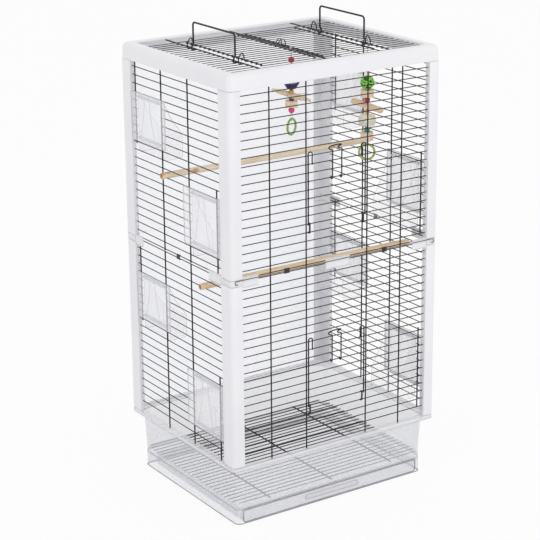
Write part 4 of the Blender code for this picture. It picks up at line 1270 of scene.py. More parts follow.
@dataclass
class Roof:
    """The roof: fixed wires, two folding hatches with wire arches, two handles and a small bail."""

    rim: float = 0.020
    tuck: float = 0.006
    row_wire: float = 0.0013
    hatch_outer: float = 0.121
    hatch_inner: float = 0.008
    arch_slot: float = 5.5
    arch_rise: float = 0.016
    handle_wire: float = 0.0034
    handle_slot: float = 4.5
    handle_rise: float = 0.048
    handle_bend: float = 0.006
    bail_radius: float = 0.0009
    bail_half: float = 0.0065
    bail_rise: float = 0.011

    @property
    def axis_z(self) -> float:
        """Height of the roof's cross wires."""
        return CAGE.roof_face + CAGE.upright_wire / 2

    @property
    def wire_reach(self) -> float:
        """Reach of a cross wire's own section."""
        return CAGE.upright_wire / sqrt(3)

    def grille(self) -> None:
        """Builds the fixed wires: side strips, a centre wire and the two end rows."""
        half_x = CAGE.width / 2 - self.rim + self.tuck
        half_y = CAGE.depth / 2 - self.rim + self.tuck
        ys, hinge = CAGE.roof_row_ys(), CAGE.hatch_hinge - CAGE.overrun
        rows = [(ys[0], -half_x, half_x), (ys[-1], -half_x, half_x)]
        for y in ys[1:-1]:
            rows += [(y, -half_x, -hinge), (y, hinge, half_x)]
        uprights = [(x, -half_y, half_y) for x in (-CAGE.hatch_hinge, 0.0, CAGE.hatch_hinge)]
        sketch = Sketch(at(0, 0, CAGE.roof_face))
        sketch.lattice(rows, uprights, self.row_wire)
        sketch.piece("roof_wires", [Finishes.wire], "frame", ["roof_grille"], "dark_wire")

    def hatch(self, side: Side) -> None:
        """Builds a hatch with the two arches that hinge it.

        Args:
            side: The side that it is on.
        """
        sign, axis_x = side.sign, side.sign * CAGE.hatch_hinge
        outer, inner = sign * self.hatch_outer - axis_x, sign * self.hatch_inner - axis_x
        ends = sorted((outer + sign * CAGE.overrun, inner - sign * CAGE.overrun))
        ys = CAGE.roof_row_ys()[1:-1]
        sketch = Sketch(at(axis_x, 0, CAGE.roof_face))
        uprights = [(x, ys[0] - CAGE.overrun, ys[-1] + CAGE.overrun) for x in (outer, inner)]
        sketch.lattice([(y, *ends) for y in ys], uprights, self.row_wire)
        sketch.place = at(axis_x, 0, self.axis_z)
        wire = CAGE.upright_wire * 0.45
        reach = self.wire_reach + wire + CAGE.gap
        far, rise = outer + sign * 0.0100, self.arch_rise
        for s in (-1, 1):
            y = s * self.arch_slot * CAGE.roof_pitch
            bends = [(outer, y, 0.0), (outer + sign * 0.0045, y, 0.0003), (far - sign * 0.0008, y, 0.0022),
                     (far + sign * 0.0006, y, rise * 0.55), (far + sign * 0.0030, y, rise * 0.92),
                     (far + sign * 0.0052, y, rise), (-sign * 0.0008, y, rise * 0.86),
                     (sign * reach, y, rise * 0.45), (sign * reach, y, 0.001)]
            path = smooth_path(bends, 5) + arc((0, y, 0), reach, -8, -140, 8, sign * X, Z)
            sketch.tube(path, wire, 10)
        name = f"roof_hatch_{side.value}"
        sketch.piece(f"{name}_wires", [Finishes.wire], f"hatch_{side.value}", [name], "dark_wire")

    def bail(self) -> None:
        """Builds the bail on the right hatch's inner wire, which clips over the centre wire."""
        reach = self.wire_reach + self.bail_radius + CAGE.gap
        x, y, rise = self.hatch_inner, self.bail_half, self.bail_rise
        foot = arc((0, -y, 0), reach, -90, 60, 10, X, Z)
        bends = [(0.0002, -y, rise * 0.8), (-x * 0.5, -y * 0.9, rise), (-x * 1.1, -y * 0.6, rise * 0.9),
                 (-x * 1.5, -y * 0.45, rise * 0.5)]
        leg = [foot[-1]] + [Vector(p) for p in bends]
        path = foot[:-1] + smooth_path(leg + mirrored(leg, Y)) + mirrored(foot[:-1], Y)
        sketch = Sketch(at(x, 0, self.axis_z))
        sketch.tube(path, self.bail_radius, 10)
        sketch.piece("roof_bail_wire", [Finishes.wire], "roof_bail", ["roof_latch_bail"], "dark_wire")

    def handle(self, side: Side) -> None:
        """Builds a folding handle, whose feet curl round the cross wire.

        Args:
            side: The side that it is on.
        """
        radius = self.handle_wire / 2
        reach = self.wire_reach + radius + CAGE.gap
        half, rise, bend = self.handle_slot * CAGE.roof_pitch, self.handle_rise, self.handle_bend
        out = side.sign * X
        foot = arc((0, -half, 0), reach, -150, 10, 12, out, Z)
        lean = out * reach * 0.75 + Vector((0, -half, reach * 1.5))
        foot += smooth_path([foot[-1], lean, (0.0, -half, reach * 2.6), (0.0, -half, reach * 4)])[1:]
        foot += arc((0, -half + bend, rise - bend), bend, 180, 90, 8, Y, Z)
        sketch = Sketch(at(side.sign * CAGE.hatch_hinge, 0, self.axis_z))
        sketch.tube(foot + mirrored(foot, Y), radius, 12)
        name = f"carry_handle_{side.value}"
        sketch.piece(f"{name}_wire", [Finishes.wire], f"handle_{side.value}", [name], "dark_wire")

    def build(self) -> None:
        """Builds the roof's pieces."""
        self.grille()
        for side in Side:
            self.hatch(side)
            self.handle(side)
        self.bail()


@dataclass
class Base:
    """The clear base: tray with rim, skirt and housing, the drawer in it and the grate on its ledge."""

    wall: float = 0.0025
    rim_out: float = 0.0015
    rim_height: float = 0.008
    skirt_inset: float = 0.0085
    skirt_foot_inset: float = 0.0125
    skirt_foot: float = 0.042
    housing_inset: float = 0.0165
    housing_top: float = 0.031
    drawer_half: float = 0.199
    drawer_foot: float = 0.0032
    drawer_top: float = 0.0285
    drawer_wall: float = 0.002
    drawer_length: float = 0.312
    slot_half: float = 0.060
    slot_height: float = 0.009

    def ring(self, inset: float, radius: float, z: float) -> Loop:
        """A rounded rectangle that lies inset inside the posts' outer faces."""
        return rounded_loop(CAGE.width / 2 - inset, CAGE.depth / 2 - inset, radius, z, 9)

    def mouth(self, half: float, low: float, high: float, radius: float) -> list[tuple[float, float]]:
        """Gives the drawer's outline seen from the front, with round lower corners.

        Args:
            half: Half its width.
            low: Height of its foot.
            high: Height of its top.
            radius: Radius of the lower corners.

        Returns:
            The points (x, z), counter-clockwise.
        """
        points = [(half, high), (-half, high)]
        for sign, start in ((-1, 180), (1, 270)):
            for p in arc((sign * (half - radius), low + radius, 0), radius, start, start + 90, 8, X, Y):
                points.append((p.x, p.y))
        return points

    def tray(self) -> None:
        """Builds the tray in one lofted shell and cuts the drawer's opening into it."""
        top, wall, fold = CAGE.post_foot - CAGE.gap, self.wall, self.housing_top
        rim_foot, rim, housing = top - self.rim_height, -self.rim_out, self.housing_inset
        skirt, skirt_low = self.skirt_inset, self.skirt_foot_inset
        # Finish numbers: edge is for painted shade lines at the housing's foot and fold, and lip is for a
        # painted highlight on the steps and the rim.
        body, lip, edge, inner = range(4)
        skins = [(housing + 0.0022, 0.008, 0.0, edge), (housing + 0.0006, 0.0095, 0.0007, edge),
                 (housing, 0.010, 0.0024, body), (housing, 0.010, fold - 0.0012, edge),
                 (housing - 0.0006, 0.012, fold + 0.0008, lip),
                 (skirt_low + 0.0020, 0.021, fold + 0.0026, lip),
                 (skirt_low + 0.0008, 0.024, fold + 0.0055, body), (skirt_low, 0.026, self.skirt_foot, body),
                 (skirt, 0.030, rim_foot - 0.002, lip), (skirt - 0.001, 0.026, rim_foot, lip),
                 (rim + 0.0004, 0.013, rim_foot + 0.0006, lip), (rim, 0.013, rim_foot + 0.0014, lip),
                 (rim, 0.013, top - 0.0008, lip), (rim + 0.0006, 0.013, top, lip),
                 (skirt + wall, 0.024, top, inner), (skirt_low + wall, 0.0225, self.skirt_foot, inner),
                 (skirt_low + wall + 0.001, 0.020, fold + 0.0035 + wall, inner),
                 (housing + wall, 0.0085, fold + wall, inner), (housing + wall, 0.0085, wall, inner)]
        sketch = Sketch()
        sketch.loft([self.ring(*skin[:3]) for skin in skins], [skin[3] for skin in skins[:-1]])
        sketch.marks[-2:] = [inner, inner]
        front = -CAGE.depth / 2
        ends, play = (front + housing + wall + 0.004, front), 0.0006
        low, high = self.drawer_foot - 0.0004, self.drawer_top + play
        outline = self.mouth(self.drawer_half + play, low, high, 0.006)
        # The opening's cut walls take the painted edge shade.
        cutter = Sketch()
        cutter.loft([[(x, y, z) for x, z in outline] for y in ends], edge)
        sketch.cutters.append(cutter)
        finishes = [Finishes.clear, Finishes.clear_lip_highlight, Finishes.clear_edge_shade, Finishes.clear_inner]
        sketch.piece("base_tray_shell", finishes, "frame", ["base_tray"], "clear_plastic", angle=30)
        # Thin tubes of painted shade: a dark line at the housing's foot and grey lines along the skirt's fold
        # and under the rim.
        lines = ((housing, 0.010, 0.0016, 0.0009, 0), (skirt_low + 0.0016, 0.022, fold + 0.0030, 0.0007, 1),
                 (skirt - 0.0004, 0.027, rim_foot - 0.0008, 0.0006, 1),
                 (rim + 0.0004, 0.013, rim_foot + 0.0010, 0.0006, 1))
        edges = Sketch()
        for inset, radius, z, size, mark in lines:
            edges.tube(self.ring(inset, radius, z), size, 6, mark, closed=True)
        finishes = [Finishes.clear_edge_shade, Finishes.clear_line_shade]
        edges.piece("base_tray_edges", finishes, "frame", ["base_tray"], "clear_plastic")

    def drawer(self) -> None:
        """Builds the drawer, open at the top, with its hand slot and the painted shade line round its front.
        """
        wall, low, high = self.drawer_wall, self.drawer_foot, self.drawer_top
        front = -CAGE.depth / 2 + self.housing_inset
        place = at(0, front, 0)
        outline = self.mouth(self.drawer_half, low, high, 0.0056)
        sketch = Sketch(place)
        sketch.loft([[(x, y, z) for x, z in outline] for y in (self.drawer_length, 0.0)], 0)
        inside = Sketch(place @ at(0, self.drawer_length / 2, 0))
        half_x, half_y = self.drawer_half - wall, self.drawer_length / 2 - wall
        inside.loft([rounded_loop(half_x - 0.002, half_y - 0.002, 0.006, low + wall),
                     rounded_loop(half_x, half_y, 0.008, low + wall + 0.003),
                     rounded_loop(half_x, half_y, 0.008, high + 0.01)], 2)
        middle, radius = (low + high) / 2 + 0.001, self.slot_height / 2
        ends = []
        for side in (1, -1):
            centre = (side * (self.slot_half - radius), middle, 0)
            ends += arc(centre, radius, -90 * side, -90 * side + 180, 10, X, Y)
        # The hand slot's cut walls take the painted highlight.
        slot = Sketch(place)
        slot.loft([[(p.x, y, p.y) for p in ends] for y in (wall + 0.002, -0.01)], 1)
        sketch.cutters += [inside, slot]
        finishes = [Finishes.clear, Finishes.clear_lip_highlight, Finishes.clear_inner]
        sketch.piece("drawer_shell", finishes, "drawer", ["drawer"], "clear_plastic", angle=30, ease=0.0004)
        # Painted shade: a dark line round the front, and grey lines at the two notches and round the hand
        # slot.
        trim = Sketch(place)
        inset, face, notch = 0.0009, -0.0001, 0.072
        edge = self.mouth(self.drawer_half - inset, low + inset, high - inset, 0.0048)
        trim.tube([(x, face, z) for x, z in edge], 0.0010, 6, closed=True)
        for s in (-1, 1):
            trim.tube([(s * notch, face, low + 0.0072), (s * notch, face, low + 0.0020)], 0.0004, 6, 1)
        trim.tube([(p.x, face, p.y) for p in ends], 0.0011, 6, 1, closed=True)
        finishes = [Finishes.clear_edge_shade, Finishes.clear_line_shade]
        trim.piece("drawer_edge_bead", finishes, "drawer", slot="clear_plastic")

    def grate(self) -> None:
        """Builds the wire grate that lies on the tray's ledge."""
        inset, corner, wire, count = 0.0166, 0.024, 0.0017, 26
        half_x, half_y = CAGE.width / 2 - inset, CAGE.depth / 2 - inset
        z = self.housing_top + 0.0035 + self.wall + CAGE.gap + CAGE.upright_wire
        pitch = 2 * (half_y - 0.0074) / (count - 1)
        rows = []
        for k in range(count):
            y = (k - (count - 1) / 2) * pitch
            over = max(abs(y) + wire - (half_y - corner), 0.0)
            reach = half_x - corner + sqrt(corner ** 2 - over ** 2)
            rows.append((y, -reach, reach))
        sketch = Sketch(at(0, 0, z) @ Matrix.Rotation(pi, 4, "X"))
        sketch.lattice(rows, [(x, -half_y, half_y) for x in (-half_x * 0.66, 0.0, half_x * 0.66)], wire)
        sketch.piece("floor_grate_wires", [Finishes.wire], "frame", ["floor_grate"], "dark_wire")

    def build(self) -> None:
        """Builds the tray, the drawer and the grate."""
        self.tray()
        self.drawer()
        self.grate()


@dataclass
class Feeder:
    """A clear tilting feeder: an outer plate and a cup with side cheeks inside the wires."""

    section: Section
    side: Side
    end: End
    wall: float = 0.002
    reach: float = 0.042
    drop: float = 0.018
    lip: float = 0.025
    side_gap: float = 0.0012
    plate_inner: float = 0.062
    plate_gap: float = 0.0008

    @property
    def name(self) -> str:
        """Name of the feeder's node and body."""
        return f"feeder_{self.section.value}_{self.side.value}_{self.end.value}"

    @property
    def span(self) -> tuple[float, float]:
        """Height of the feeder's opening at its foot and its top."""
        first, last = CAGE.rear_opening if self.end is End.REAR else CAGE.front_opening
        return CAGE.row_z(self.section, last), CAGE.row_z(self.section, first)

    def place(self) -> Matrix:
        """Gives the place of the feeder's own outline.

        Returns:
            The matrix that takes X into the cage, Y up and Z along the wall.
        """
        sign, (outer, inner) = self.side.sign, CAGE.side_uprights
        plane = CAGE.width / 2 - CAGE.wire_plane - CAGE.row_wire / 2
        centre, foot = (outer + inner) / 2 * self.end.sign, self.span[0]
        return Matrix(((-sign, 0, 0, sign * plane), (0, 0, sign, centre), (0, 1, 0, foot), (0, 0, 0, 1)))

    def plate_outline(self, tall: float) -> Loop:
        """Gives the outer plate's outline, u along the wall and v up.

        Args:
            tall: Height of the feeder's opening.

        Returns:
            The points, counter-clockwise.
        """
        outer, inner = CAGE.side_uprights
        sign, edge = self.side.sign, 0.004
        away = sign if self.end is End.REAR else -sign
        outward = CAGE.depth / 2 - CAGE.side_leaf - self.plate_gap - (outer + inner) / 2
        reaches = {away: outward, -away: self.plate_inner}
        points = []
        for k, (su, sv) in enumerate(CORNERS):
            v = tall + 0.0025 - edge if sv > 0 else 0.0045 + edge
            points += arc((su * (reaches[su] - edge), v, 0), edge, 90 * k, 90 * k + 90, 6, X, Y)
        return points

    def build(self) -> None:
        """Builds the cup, the plate, its edge bead and the ribs that join them."""
        low, high = self.span
        tall = high - low
        outer, inner = CAGE.side_uprights
        half = (outer - inner) / 2 - CAGE.upright_wire / sqrt(3) - self.side_gap
        near, top = CAGE.row_wire / 2 + 0.0008, tall - CAGE.row_wire
        reach, drop, lip, wall = self.reach, -self.drop, self.lip, self.wall
        cheek = [(near, drop + 0.004), (near + 0.0015, drop + 0.0012), (near + 0.006, drop),
                 (reach - 0.006, drop), (reach - 0.0015, drop + 0.0018), (reach, drop + 0.006),
                 (reach, lip), (reach * 0.48, top * 0.62), (near + wall, top), (near, top)]
        sketch = Sketch(self.place())
        sketch.slab(cheek, -half, half)
        floor, back = drop + wall, near + wall
        hollow = [(back, floor + 0.003), (back + 0.004, floor), (reach - wall - 0.005, floor),
                  (reach - wall, floor + 0.005), (reach - wall, lip + 0.0005), (reach + 0.01, lip + 0.0006),
                  (reach + 0.01, top + 0.01), (back, top + 0.01)]
        inside = Sketch(self.place())
        inside.slab(hollow, -half + wall, half - wall, (1, 1))
        sketch.cutters.append(inside)
        finishes = [Finishes.cup, Finishes.clear_inner]
        sketch.piece(f"{self.name}_cup", finishes, self.name, [self.name], "clear_plastic", ease=0.0005)
        front = -(CAGE.upright_wire + CAGE.row_wire / 2 + CAGE.gap)
        face, inset = front - wall, 0.0011
        outline = self.plate_outline(tall)
        plate = Sketch(self.place())
        plate.loft([[(x, p.y, p.x) for p in outline] for x in (front, face)], 1)
        plate.marks[-2:] = [0, 0]
        middle = Vector((sum(p.x for p in outline), sum(p.y for p in outline), 0)) / len(outline)
        bead = [(face, p.y - inset * copysign(1, p.y - middle.y),
                 p.x - inset * copysign(1, p.x - middle.x)) for p in outline]
        plate.tube(bead, 0.0006, 6, 1, closed=True)
        for s in (-1, 1):
            run = [(face, 0.012, s * 0.026), (face, tall * 0.55, s * 0.014), (face, tall - 0.006, s * 0.008)]
            plate.tube(smooth_path(run, 6), 0.0005, 6, 1, flat=0.6)
            plate.tube([(x, y, s * (half - 0.0003)) for x, y in cheek], 0.0004, 6, 1, closed=True)
        for height in (0.009, top - 0.006):
            start = (front - wall / 2, height, -half + wall)
            plate.box(start, (near + wall / 2, height + 0.003, half - wall), 1)
        # The plate's rim, bead, ribs, bars and cheek outlines take painted shade in greyer plastic.
        finishes = [Finishes.plate, Finishes.cup_edge_shade]
        plate.piece(f"{self.name}_plate", finishes, self.name, [self.name], "clear_plastic")


@dataclass
class Joint:
    """What holds the two sections together: clear corners with arms, a centre clip, clips and a thin rod."""

    arm_thick: float = 0.0017
    arm_half: float = 0.010
    arm_clear: float = 0.0006
    front_arm: float = 0.057
    side_front_arm: float = 0.074
    side_rear_arm: float = 0.061
    centre_half: float = 0.027
    rod_wire: float = 0.0012
    rod_z: float = 0.478
    rod_curl: float = 0.0035
    clip_offset: float = 0.108
    clip_wall: float = 0.0007
    clip_width: float = 0.011

    def corner(self, side: Side, end: End) -> None:
        """Builds a clear corner piece with its collar and its arms.

        Args:
            side: The side that it is on.
            end: The end that it is at.
        """
        half = CAGE.joint_height / 2 - CAGE.gap
        low, high = CAGE.joint - half, CAGE.joint + half
        sketch = Sketch()
        sketch.slab(Posts().outline(side.sign, end.sign), low, high, (1, 0))
        x_out, y_out = side.sign * CAGE.width / 2, end.sign * CAGE.depth / 2
        sx, sy, thick = side.sign, end.sign, self.arm_thick
        plates = []
        if end is End.FRONT:
            start = (x_out - sx * (CAGE.front_leaf + self.arm_clear), y_out - sy * thick)
            plates.append((start, (x_out - sx * self.front_arm, y_out)))
        arm = self.side_front_arm if end is End.FRONT else self.side_rear_arm
        start = (x_out - sx * thick, y_out - sy * (CAGE.side_leaf + self.arm_clear))
        plates.append((start, (x_out, y_out - sy * arm)))
        for a, b in plates:
            ends = [(min(a[i], b[i]), max(a[i], b[i])) for i in (0, 1)]
            sketch.box((ends[0][0], ends[1][0], CAGE.joint - self.arm_half),
                       (ends[0][1], ends[1][1], CAGE.joint + self.arm_half), 0)
            # Painted shade: a grey line near each arm's top and foot.
            ridge = CAGE.joint + self.arm_half - 0.0012
            for z in (ridge, 2 * CAGE.joint - ridge):
                along = X if ends[0][1] - ends[0][0] > ends[1][1] - ends[1][0] else Y
                mid = Vector((sum(ends[0]) / 2, sum(ends[1]) / 2, z))
                out = Vector((0, sy, 0)) if along is X else Vector((sx, 0, 0))
                long = (ends[0][1] - ends[0][0] if along is X else ends[1][1] - ends[1][0]) / 2 - 0.001
                line = mid + out * (thick / 2 - 0.0001)
                sketch.tube((line - along * long, line + along * long), 0.0005, 6, 1)
        name = f"joint_corner_{end.value}_{side.value}"
        sketch.piece(f"{name}_moulding", [Finishes.milky, Finishes.clear_line_shade], "frame", [name],
                     "clear_plastic", ease=0.0003)

    def centre(self) -> None:
        """Builds the clear centre clip with its raised edge."""
        y, half = -CAGE.depth / 2, self.centre_half
        low, high = CAGE.joint - self.arm_half, CAGE.joint + self.arm_half
        stand = Matrix.Rotation(pi / 2, 4, "X")
        sketch = Sketch(at(0, y + self.arm_thick, CAGE.joint) @ stand)
        outline = [(p.x, p.y) for p in rounded_loop(half, (high - low) / 2, 0.002, 0, 5)]
        sketch.slab(outline, 0, self.arm_thick, (0, 1))
        inset = 0.0012
        # Painted shade: a grey line just inside the clip's rim.
        edge = rounded_loop(half - inset, (high - low) / 2 - inset, 0.0015, self.arm_thick, 4)
        sketch.tube(edge, 0.0004, 6, 1, closed=True)
        sketch.piece("joint_centre_clip_moulding", [Finishes.milky, Finishes.clear_line_shade], "frame",
                     ["joint_centre_clip"], "clear_plastic")

    def clip(self, name: str, wall: Wall, shift: float) -> None:
        """Builds a small dark clip that grips both edge wires.

        Args:
            name: Where the clip is.
            wall: The wall that it is on.
            shift: Its place along the wall.
        """
        reach = CAGE.joint_row_rise + CAGE.row_wire / 2 + CAGE.gap
        rim, lip = reach + self.clip_wall, -CAGE.row_wire - CAGE.gap
        face = CAGE.gap + self.clip_wall
        outline = [(lip, -rim), (face, -rim), (face, rim), (lip, rim), (lip, reach), (CAGE.gap, reach),
                   (CAGE.gap, -reach), (lip, -reach)]
        sketch = Sketch(CAGE.wall_place(wall, z=CAGE.joint_wires))
        half, node = self.clip_width / 2, f"joint_clip_{name}"
        sketch.loft([[(u, v, n) for n, v in outline] for u in (shift - half, shift + half)])
        sketch.piece(f"{node}_grip", [Finishes.clip], "frame", [node], "dark_wire", ease=0.0002)

    def rod(self) -> None:
        """Builds the thin rod along the front joint, with a small curl at each end."""
        y = -CAGE.depth / 2 - CAGE.gap - self.rod_wire / 2
        half = CAGE.width / 2 - 0.008
        radius = self.rod_curl
        curl = arc((half - radius, y, self.rod_z - radius), radius, 90, -130, 12, X, Z)
        sketch = Sketch()
        sketch.tube(mirrored(curl, X) + [Vector((0, y, self.rod_z))] + curl, self.rod_wire / 2, 8)
        sketch.piece("joint_rod_wire", [Finishes.wire], "frame", ["joint_rod"], "dark_wire")

    def build(self) -> None:
        """Builds the joint's pieces."""
        for side, end in product(Side, End):
            self.corner(side, end)
        self.centre()
        self.clip("front_left", Wall.FRONT, -self.clip_offset)
        self.clip("front_right", Wall.FRONT, self.clip_offset)
        self.clip("left", Wall.LEFT, 0.0)
        self.clip("right", Wall.RIGHT, 0.0)
        self.rod()


@dataclass
class Perch:
    """A round wooden perch whose notched ends sit on a row of the side walls."""

    name: str
    section: Section
    row: int
    y: float
    finish: Finish
    radius: float = 0.006
    half: float = 0.234
    notch: float = 0.0034

    def build(self) -> None:
        """Builds the rod, a little uneven as turned wood is, and cuts its notches."""
        wire_z = CAGE.row_z(self.section, self.row)
        z = wire_z - CAGE.row_wire / 2 - 0.0002 + self.radius
        sketch = Sketch(at(0, self.y, z))
        stations = [(-self.half, 0.8), (-self.half + 0.0006, 0.95), (-self.half + 0.0016, 1.0)]
        for percent in range(-95, 96, 10):
            wave = sin(percent * 0.11 + self.y * 90) ** 2
            stations.append((percent / 100 * self.half * 0.98, 1.0 - 0.012 * wave))
        stations += [(self.half - 0.0016, 1.0), (self.half - 0.0006, 0.95), (self.half, 0.8)]
        loops = []
        for x, scale in stations:
            ring = arc((0, 0, 0), self.radius * scale, 0, 350, 35, Y, Z)
            loops.append([(x, p.y, p.z) for p in ring])
        sketch.loft(loops)
        sketch.marks[-2:] = [1, 1]
        middle = CAGE.width / 2 - CAGE.wire_plane - CAGE.row_wire / 2
        top = wire_z + CAGE.row_wire / 2 + CAGE.gap - z
        for s in (-1, 1):
            cutter = Sketch(sketch.place)
            cutter.box((s * middle - self.notch / 2, -0.01, -0.01), (s * middle + self.notch / 2, 0.01, top))
            sketch.cutters.append(cutter)
        finishes = [self.finish, Finishes.perch_end]
        sketch.piece(f"{self.name}_rod", finishes, "frame", [self.name], "wood", angle=40)


@dataclass
class Toy:
    """What both hanging toys share: string, hook, beads, blocks and a ring on an eye."""

    x: float
    y: float
    top: float
    foot: float
    ring_turn: float
    body: str
    string: float = 0.0009
    bead: float = 0.0058
    ring_radius: float = 0.0145
    ring_tube: float = 0.0022

    @property
    def wire(self) -> float:
        """Radius of the hook and of the loop that holds the ring."""
        return self.string * 0.8

    @property
    def drop(self) -> float:
        """Distance from the string's foot down to the middle of the ring's tube."""
        return (self.ring_tube + self.wire + 0.0006) / cos(radians(26.25))

    @property
    def core(self) -> str:
        """Name of the node of the string, the beads and the blocks."""
        return f"{self.body}_core"

    def hung(self, drop: float, turn: Matrix | None = None) -> Sketch:
        """Starts a sketch whose origin hangs that far below the toy's top, turned where a turn is given."""
        place = at(self.x, self.y, self.top - drop)
        return Sketch(place @ turn if turn else place)

    def cord(self, across: Vector, clear: float, knots: Sequence[float]) -> None:
        """Builds the string with its hook over a roof wire, its knots and the loop that holds the ring.

        Args:
            across: Direction across the roof wire.
            clear: Reach of the roof wire's section.
            knots: Heights of the small knots, under the top.
        """
        wire, neck = self.wire, clear + 0.0035
        sketch = self.hung(0.0)
        start = self.foot - self.top
        steps, loop_top = 40, start + 0.0062
        run = [Vector((0, 0, loop_top + (-neck - loop_top) * k / steps)) for k in range(steps + 1)]
        sketch.tube(run, [self.string * (1 + 0.08 * sin(k * 2.1)) for k in range(steps + 1)], 8)
        hook = arc((0, 0, 0), clear + wire + CAGE.gap, -50, 210, 18, across, Z)
        sketch.tube([Vector((0, 0, -neck - 0.0005))] + hook, wire, 8)
        facing = Matrix.Rotation(self.ring_turn, 3, "Z") @ Y
        low = Vector((0, 0, start - self.drop))
        reach = self.ring_tube + wire + 0.0004
        upper, lower = Vector((0, 0, loop_top + 0.0006)), Vector((0, 0, loop_top - 0.0014))
        eye = [upper + facing * 0.0002, lower + facing * 0.0011]
        eye += arc(low, reach, 38, 38 - 256, 20, facing, Z)
        eye += [lower - facing * 0.0011, upper - facing * 0.0002]
        sketch.tube(eye, wire * 0.72, 8)
        for height in knots:
            sketch.ball((0, 0, -height), (0.0017, 0.0017, 0.0013), 10, 5)
        sketch.piece(f"{self.body}_string", [Finishes.cord], self.body, [self.core], "toy_beads")

    def add_bead(self, name: str, drop: float, size: float, finish: Finish) -> None:
        """Adds a round bead with a bore.

        Args:
            name: What the bead is called.
            drop: Distance of its middle below the top.
            size: Its radius over the usual one.
            finish: Its dye.
        """
        radius, bore = self.bead * size, self.string + 0.00025
        tilt = asin(bore / radius)
        angles = [-pi / 2 + tilt + (pi - 2 * tilt) * k / 14 for k in range(15)]
        profile = [(radius * cos(a), radius * sin(a)) for a in angles]
        sketch = self.hung(drop)
        sketch.turned(profile, 28, closed=True)
        sketch.piece(f"{self.body}_{name}", [finish], self.body, [self.core], "toy_beads", angle=50)

    def add_block(self, name: str, drop: float, half: float, tall: float) -> None:
        """Adds a wooden block with rounded corners.

        Args:
            name: What the block is called.
            drop: Distance of its middle below the top.
            half: Half its width.
            tall: Its height.
        """
        sketch = self.hung(drop, Matrix.Rotation(TOY_TURN, 4, "Z"))
        sketch.loft([rounded_loop(half, half, 0.0018, s * tall / 2, 4) for s in (-1, 1)])
        sketch.piece(f"{self.body}_{name}", [Finishes.block], self.body, [self.core], "wood", ease=0.0007)

    def add_ring(self, finish: Finish, wrap: float) -> None:
        """Adds the ring, with the shallow spiral of a bent rod.

        Args:
            finish: Its colour.
            wrap: Depth of the spiral.
        """
        place = at(self.x, self.y, self.foot - self.drop)
        sketch = Sketch(place @ Matrix.Rotation(self.ring_turn, 4, "Z"))
        loops, steps, sides = [], 72, 14
        for k in range(steps):
            a = 2 * pi * k / steps
            loop = []
            for j in range(sides):
                b = 2 * pi * j / sides
                tube = self.ring_tube * (1 - wrap * (0.5 + 0.5 * sin(9 * a + b)))
                r = self.ring_radius + tube * cos(b)
                loop.append((r * cos(a), -tube * sin(b), r * sin(a) - self.ring_radius))
            loops.append(loop)
        sketch.loft(loops, closed=True)
        name = f"{self.body}_ring"
        sketch.piece(f"{name}_hoop", [finish], name, [name], "green_ring", angle=60)


@dataclass
class LeftToy(Toy):
    """The toy on the roof's centre wire: beads, fringe, plaited leaf, block and ring."""

    x: float = 0.0
    y: float = -2.5 * CAGE.roof_pitch
    top: float = 0.8384
    foot: float = 0.8384 - 0.1255
    ring_turn: float = radians(25)
    body: str = "toy_left"

    def leaf(self) -> None:
        """Builds the woven leaf as an open plait of flat straws, narrow at its ends, with one loose tip."""
        sketch = self.hung(0.0849, toy_tilt(17, 30))
        length, strands, steps = 0.0735, 6, 84
        for strand in range(strands):
            path, widths = [], []
            for k in range(steps + 1):
                t = k / steps
                taper = 0.22 + 0.78 * sin(pi * min(max(t, 0.03), 0.97)) ** 0.9
                phase = 2 * pi * (t * 3.6 + strand / strands)
                path.append(Vector(((t - 0.5) * length, 0.0072 * taper * sin(phase),
                                    0.00085 * cos(2 * phase + strand))))
                widths.append(0.00115 * (0.7 + 0.3 * taper))
            sketch.tube(path, widths, 8, flat=0.4)
        loose = [(0.004, 0.001, 0.0012), (0.013, 0.005, 0.0030), (0.022, 0.009, 0.0036),
                 (0.030, 0.012, 0.0030)]
        sketch.tube(smooth_path(loose), 0.0008, 6, flat=0.5)
        sketch.piece("toy_left_leaf_plait", [Finishes.straw], self.body, ["toy_left_leaf"], "straw", angle=60)

    def fringe(self) -> None:
        """Builds the fringe: crinkled paper strips that spread upward in two lobes round a core."""
        core = [(0.0012, -0.0055), (0.0060, -0.0054), (0.0082, -0.0044), (0.0090, -0.0012),
                (0.0088, 0.0018), (0.0040, 0.0028), (0.0012, 0.0030)]
        sketch = self.hung(0.0674)
        sketch.turned(core, 24, closed=True)
        count = 34
        for k in range(count):
            angle = 2 * pi * k / count
            lobe = 0.72 + 0.28 * abs(cos(angle - TOY_TURN))
            spin = Matrix.Rotation(angle, 3, "Z")
            path = []
            for j in range(9):
                t = j / 8
                out = 0.0070 + (0.0140 * lobe - 0.0070) * t
                rise = -0.0052 + 0.0106 * t * (0.8 + 0.2 * lobe)
                crinkle = 0.0007 * (1 if j % 2 else -1) * (1 if k % 2 else -1)
                path.append(spin @ Vector((out + crinkle * 0.4, crinkle, rise)))
            sketch.tube(path, 0.00095, 5, flat=0.45)
        node = "toy_left_fringe"
        sketch.piece(f"{node}_strips", [Finishes.fringe], self.body, [node], "purple_fringe", angle=80)

    def build(self) -> None:
        """Builds the toy's pieces from the hook down."""
        self.cord(X, CAGE.upright_wire / sqrt(3), (0.0275, 0.0600, 0.1200))
        self.add_bead("bead_red", 0.0200, 1.0, Finishes.red)
        self.fringe()
        self.add_bead("bead_gold", 0.0780, 0.8, Finishes.gold)
        self.leaf()
        self.add_bead("bead_violet", 0.0920, 0.85, Finishes.violet)
        self.add_block("block", 0.1010, 0.0110, 0.0115)
        self.add_bead("bead_magenta", 0.1130, 1.0, Finishes.magenta)
        self.add_ring(Finishes.leaf_ring, 0.12)


